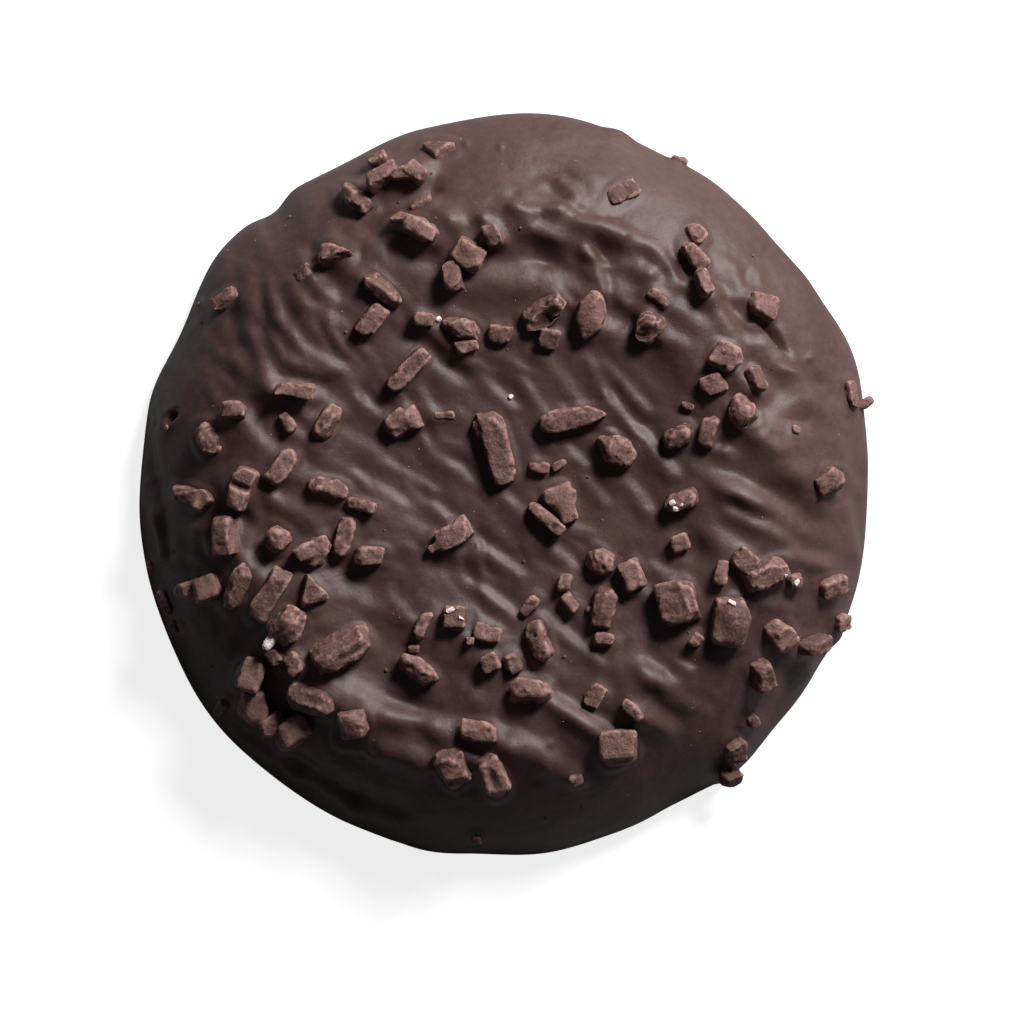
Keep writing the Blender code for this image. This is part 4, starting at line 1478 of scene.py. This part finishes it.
def grain_tree():
    tree = bpy.data.node_groups.new("strewn_grains", "GeometryNodeTree")
    for name, kind in GRAIN_INPUTS.items():
        tree.interface.new_socket(name, in_out="INPUT", socket_type="NodeSocket" + kind)
    tree.interface.new_socket("Geometry", in_out="OUTPUT", socket_type="NodeSocketGeometry")

    def node(kind, settings, inputs):
        made = tree.nodes.new(kind)
        for setting, value in settings.items():
            setattr(made, setting, value)
        for socket, value in inputs.items():
            if isinstance(value, bpy.types.NodeSocket):
                tree.links.new(value, made.inputs[socket])
            else:
                made.inputs[socket].default_value = value
        return made

    given = node("NodeGroupInput", {}, {}).outputs
    up = node("ShaderNodeSeparateXYZ", {}, {0: node("GeometryNodeInputNormal", {}, {}).outputs[0]}).outputs[2]
    upper = node("FunctionNodeCompare", {"operation": "GREATER_THAN"}, {0: up, 1: LOOKS_UP}).outputs[0]
    density, seed = given["Density"], given["Seed"]
    scatter = {"Mesh": given["Geometry"], "Selection": upper, "Density": density, "Seed": seed}
    spots = node("GeometryNodeDistributePointsOnFaces", {}, scatter).outputs["Points"]
    grain = node("GeometryNodeMeshIcoSphere", {}, {"Radius": 1.0, "Subdivisions": 1}).outputs["Mesh"]
    dents = node("ShaderNodeTexNoise", {}, {"Scale": 1.3}).outputs["Color"]
    centred = {0: dents, 1: (0.5, 0.5, 0.5)}
    dented = node("ShaderNodeVectorMath", {"operation": "SUBTRACT"}, centred).outputs[0]
    grain = node("GeometryNodeSetPosition", {}, {"Geometry": grain, "Offset": dented}).outputs[0]
    sizes = {2: given["Smallest"], 3: given["Largest"], "Seed": seed}
    size = node("FunctionNodeRandomValue", {"data_type": "FLOAT"}, sizes).outputs[1]
    turns = {0: NO_TURN, 1: FULL_TURN, "Seed": seed}
    spin = node("FunctionNodeRandomValue", {"data_type": "FLOAT_VECTOR"}, turns).outputs[0]
    copied = {"Points": spots, "Instance": grain, "Rotation": spin, "Scale": size}
    copies = node("GeometryNodeInstanceOnPoints", {}, copied).outputs[0]
    real = node("GeometryNodeRealizeInstances", {}, {0: copies}).outputs[0]
    finished = {"Geometry": real, "Material": given["Material"]}
    node("NodeGroupOutput", {}, {0: node("GeometryNodeSetMaterial", {}, finished).outputs[0]})
    return tree


GRAIN_TREE = grain_tree()


def strewn(name, material, amounts):
    """Strews grains over the coating and returns them as one plain mesh object."""
    helper = placed("strewing", coating_mesh)
    strewer = helper.modifiers.new("strewer", "NODES")
    strewer.node_group = GRAIN_TREE
    asked = {**amounts, "Material": material}
    for item in GRAIN_TREE.interface.items_tree:
        if item.in_out == "INPUT" and item.name in asked:
            strewer[item.identifier] = asked[item.name]
    mesh = mesh_after_modifiers(helper)
    helper.modifiers.remove(strewer)
    bpy.data.objects.remove(helper)
    mesh.name = name
    print(name, "faces", len(mesh.polygons))
    return placed(name, mesh)


# %% Pale specks
DUST_BROWN = (0.17, 0.115, 0.1, 1.0)
DUST_PALE = (0.32, 0.235, 0.205, 1.0)
# Grains for each square metre, and the half width of the smallest and the largest grain in metres.
SPECKS = {"Density": 20000.0, "Smallest": 0.00004, "Largest": 0.00011, "Seed": 5}


def pale_dust():
    finish = Finish("pale_dust", Roughness=0.8)
    grainy = finish.grain(2.0)
    return finish.shade(Base_Color=finish.blend(grainy.above(0.4, 0.6), DUST_BROWN, DUST_PALE))


pale_specks = strewn("pale_specks", pale_dust(), SPECKS)

# %% Crumbs of chocolate
CRUMBS = {"Density": 4000.0, "Smallest": 0.0001, "Largest": 0.00028, "Seed": 11}
crumbs = strewn("chocolate_crumbs", dry_chocolate, CRUMBS)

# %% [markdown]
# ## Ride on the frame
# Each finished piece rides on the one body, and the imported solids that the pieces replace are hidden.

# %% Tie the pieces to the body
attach(coating, "root")
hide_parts("coated_biscuit")
for kind, made in large_chips.items():
    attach(made, "root")
    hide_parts(*[name for name in CHIP_NODES if name.startswith(kind)])
for made in (small_pieces, crumbs):
    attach(made, "root")
for made in (sugar_and_glint_flecks, pale_specks):
    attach(made, "root")
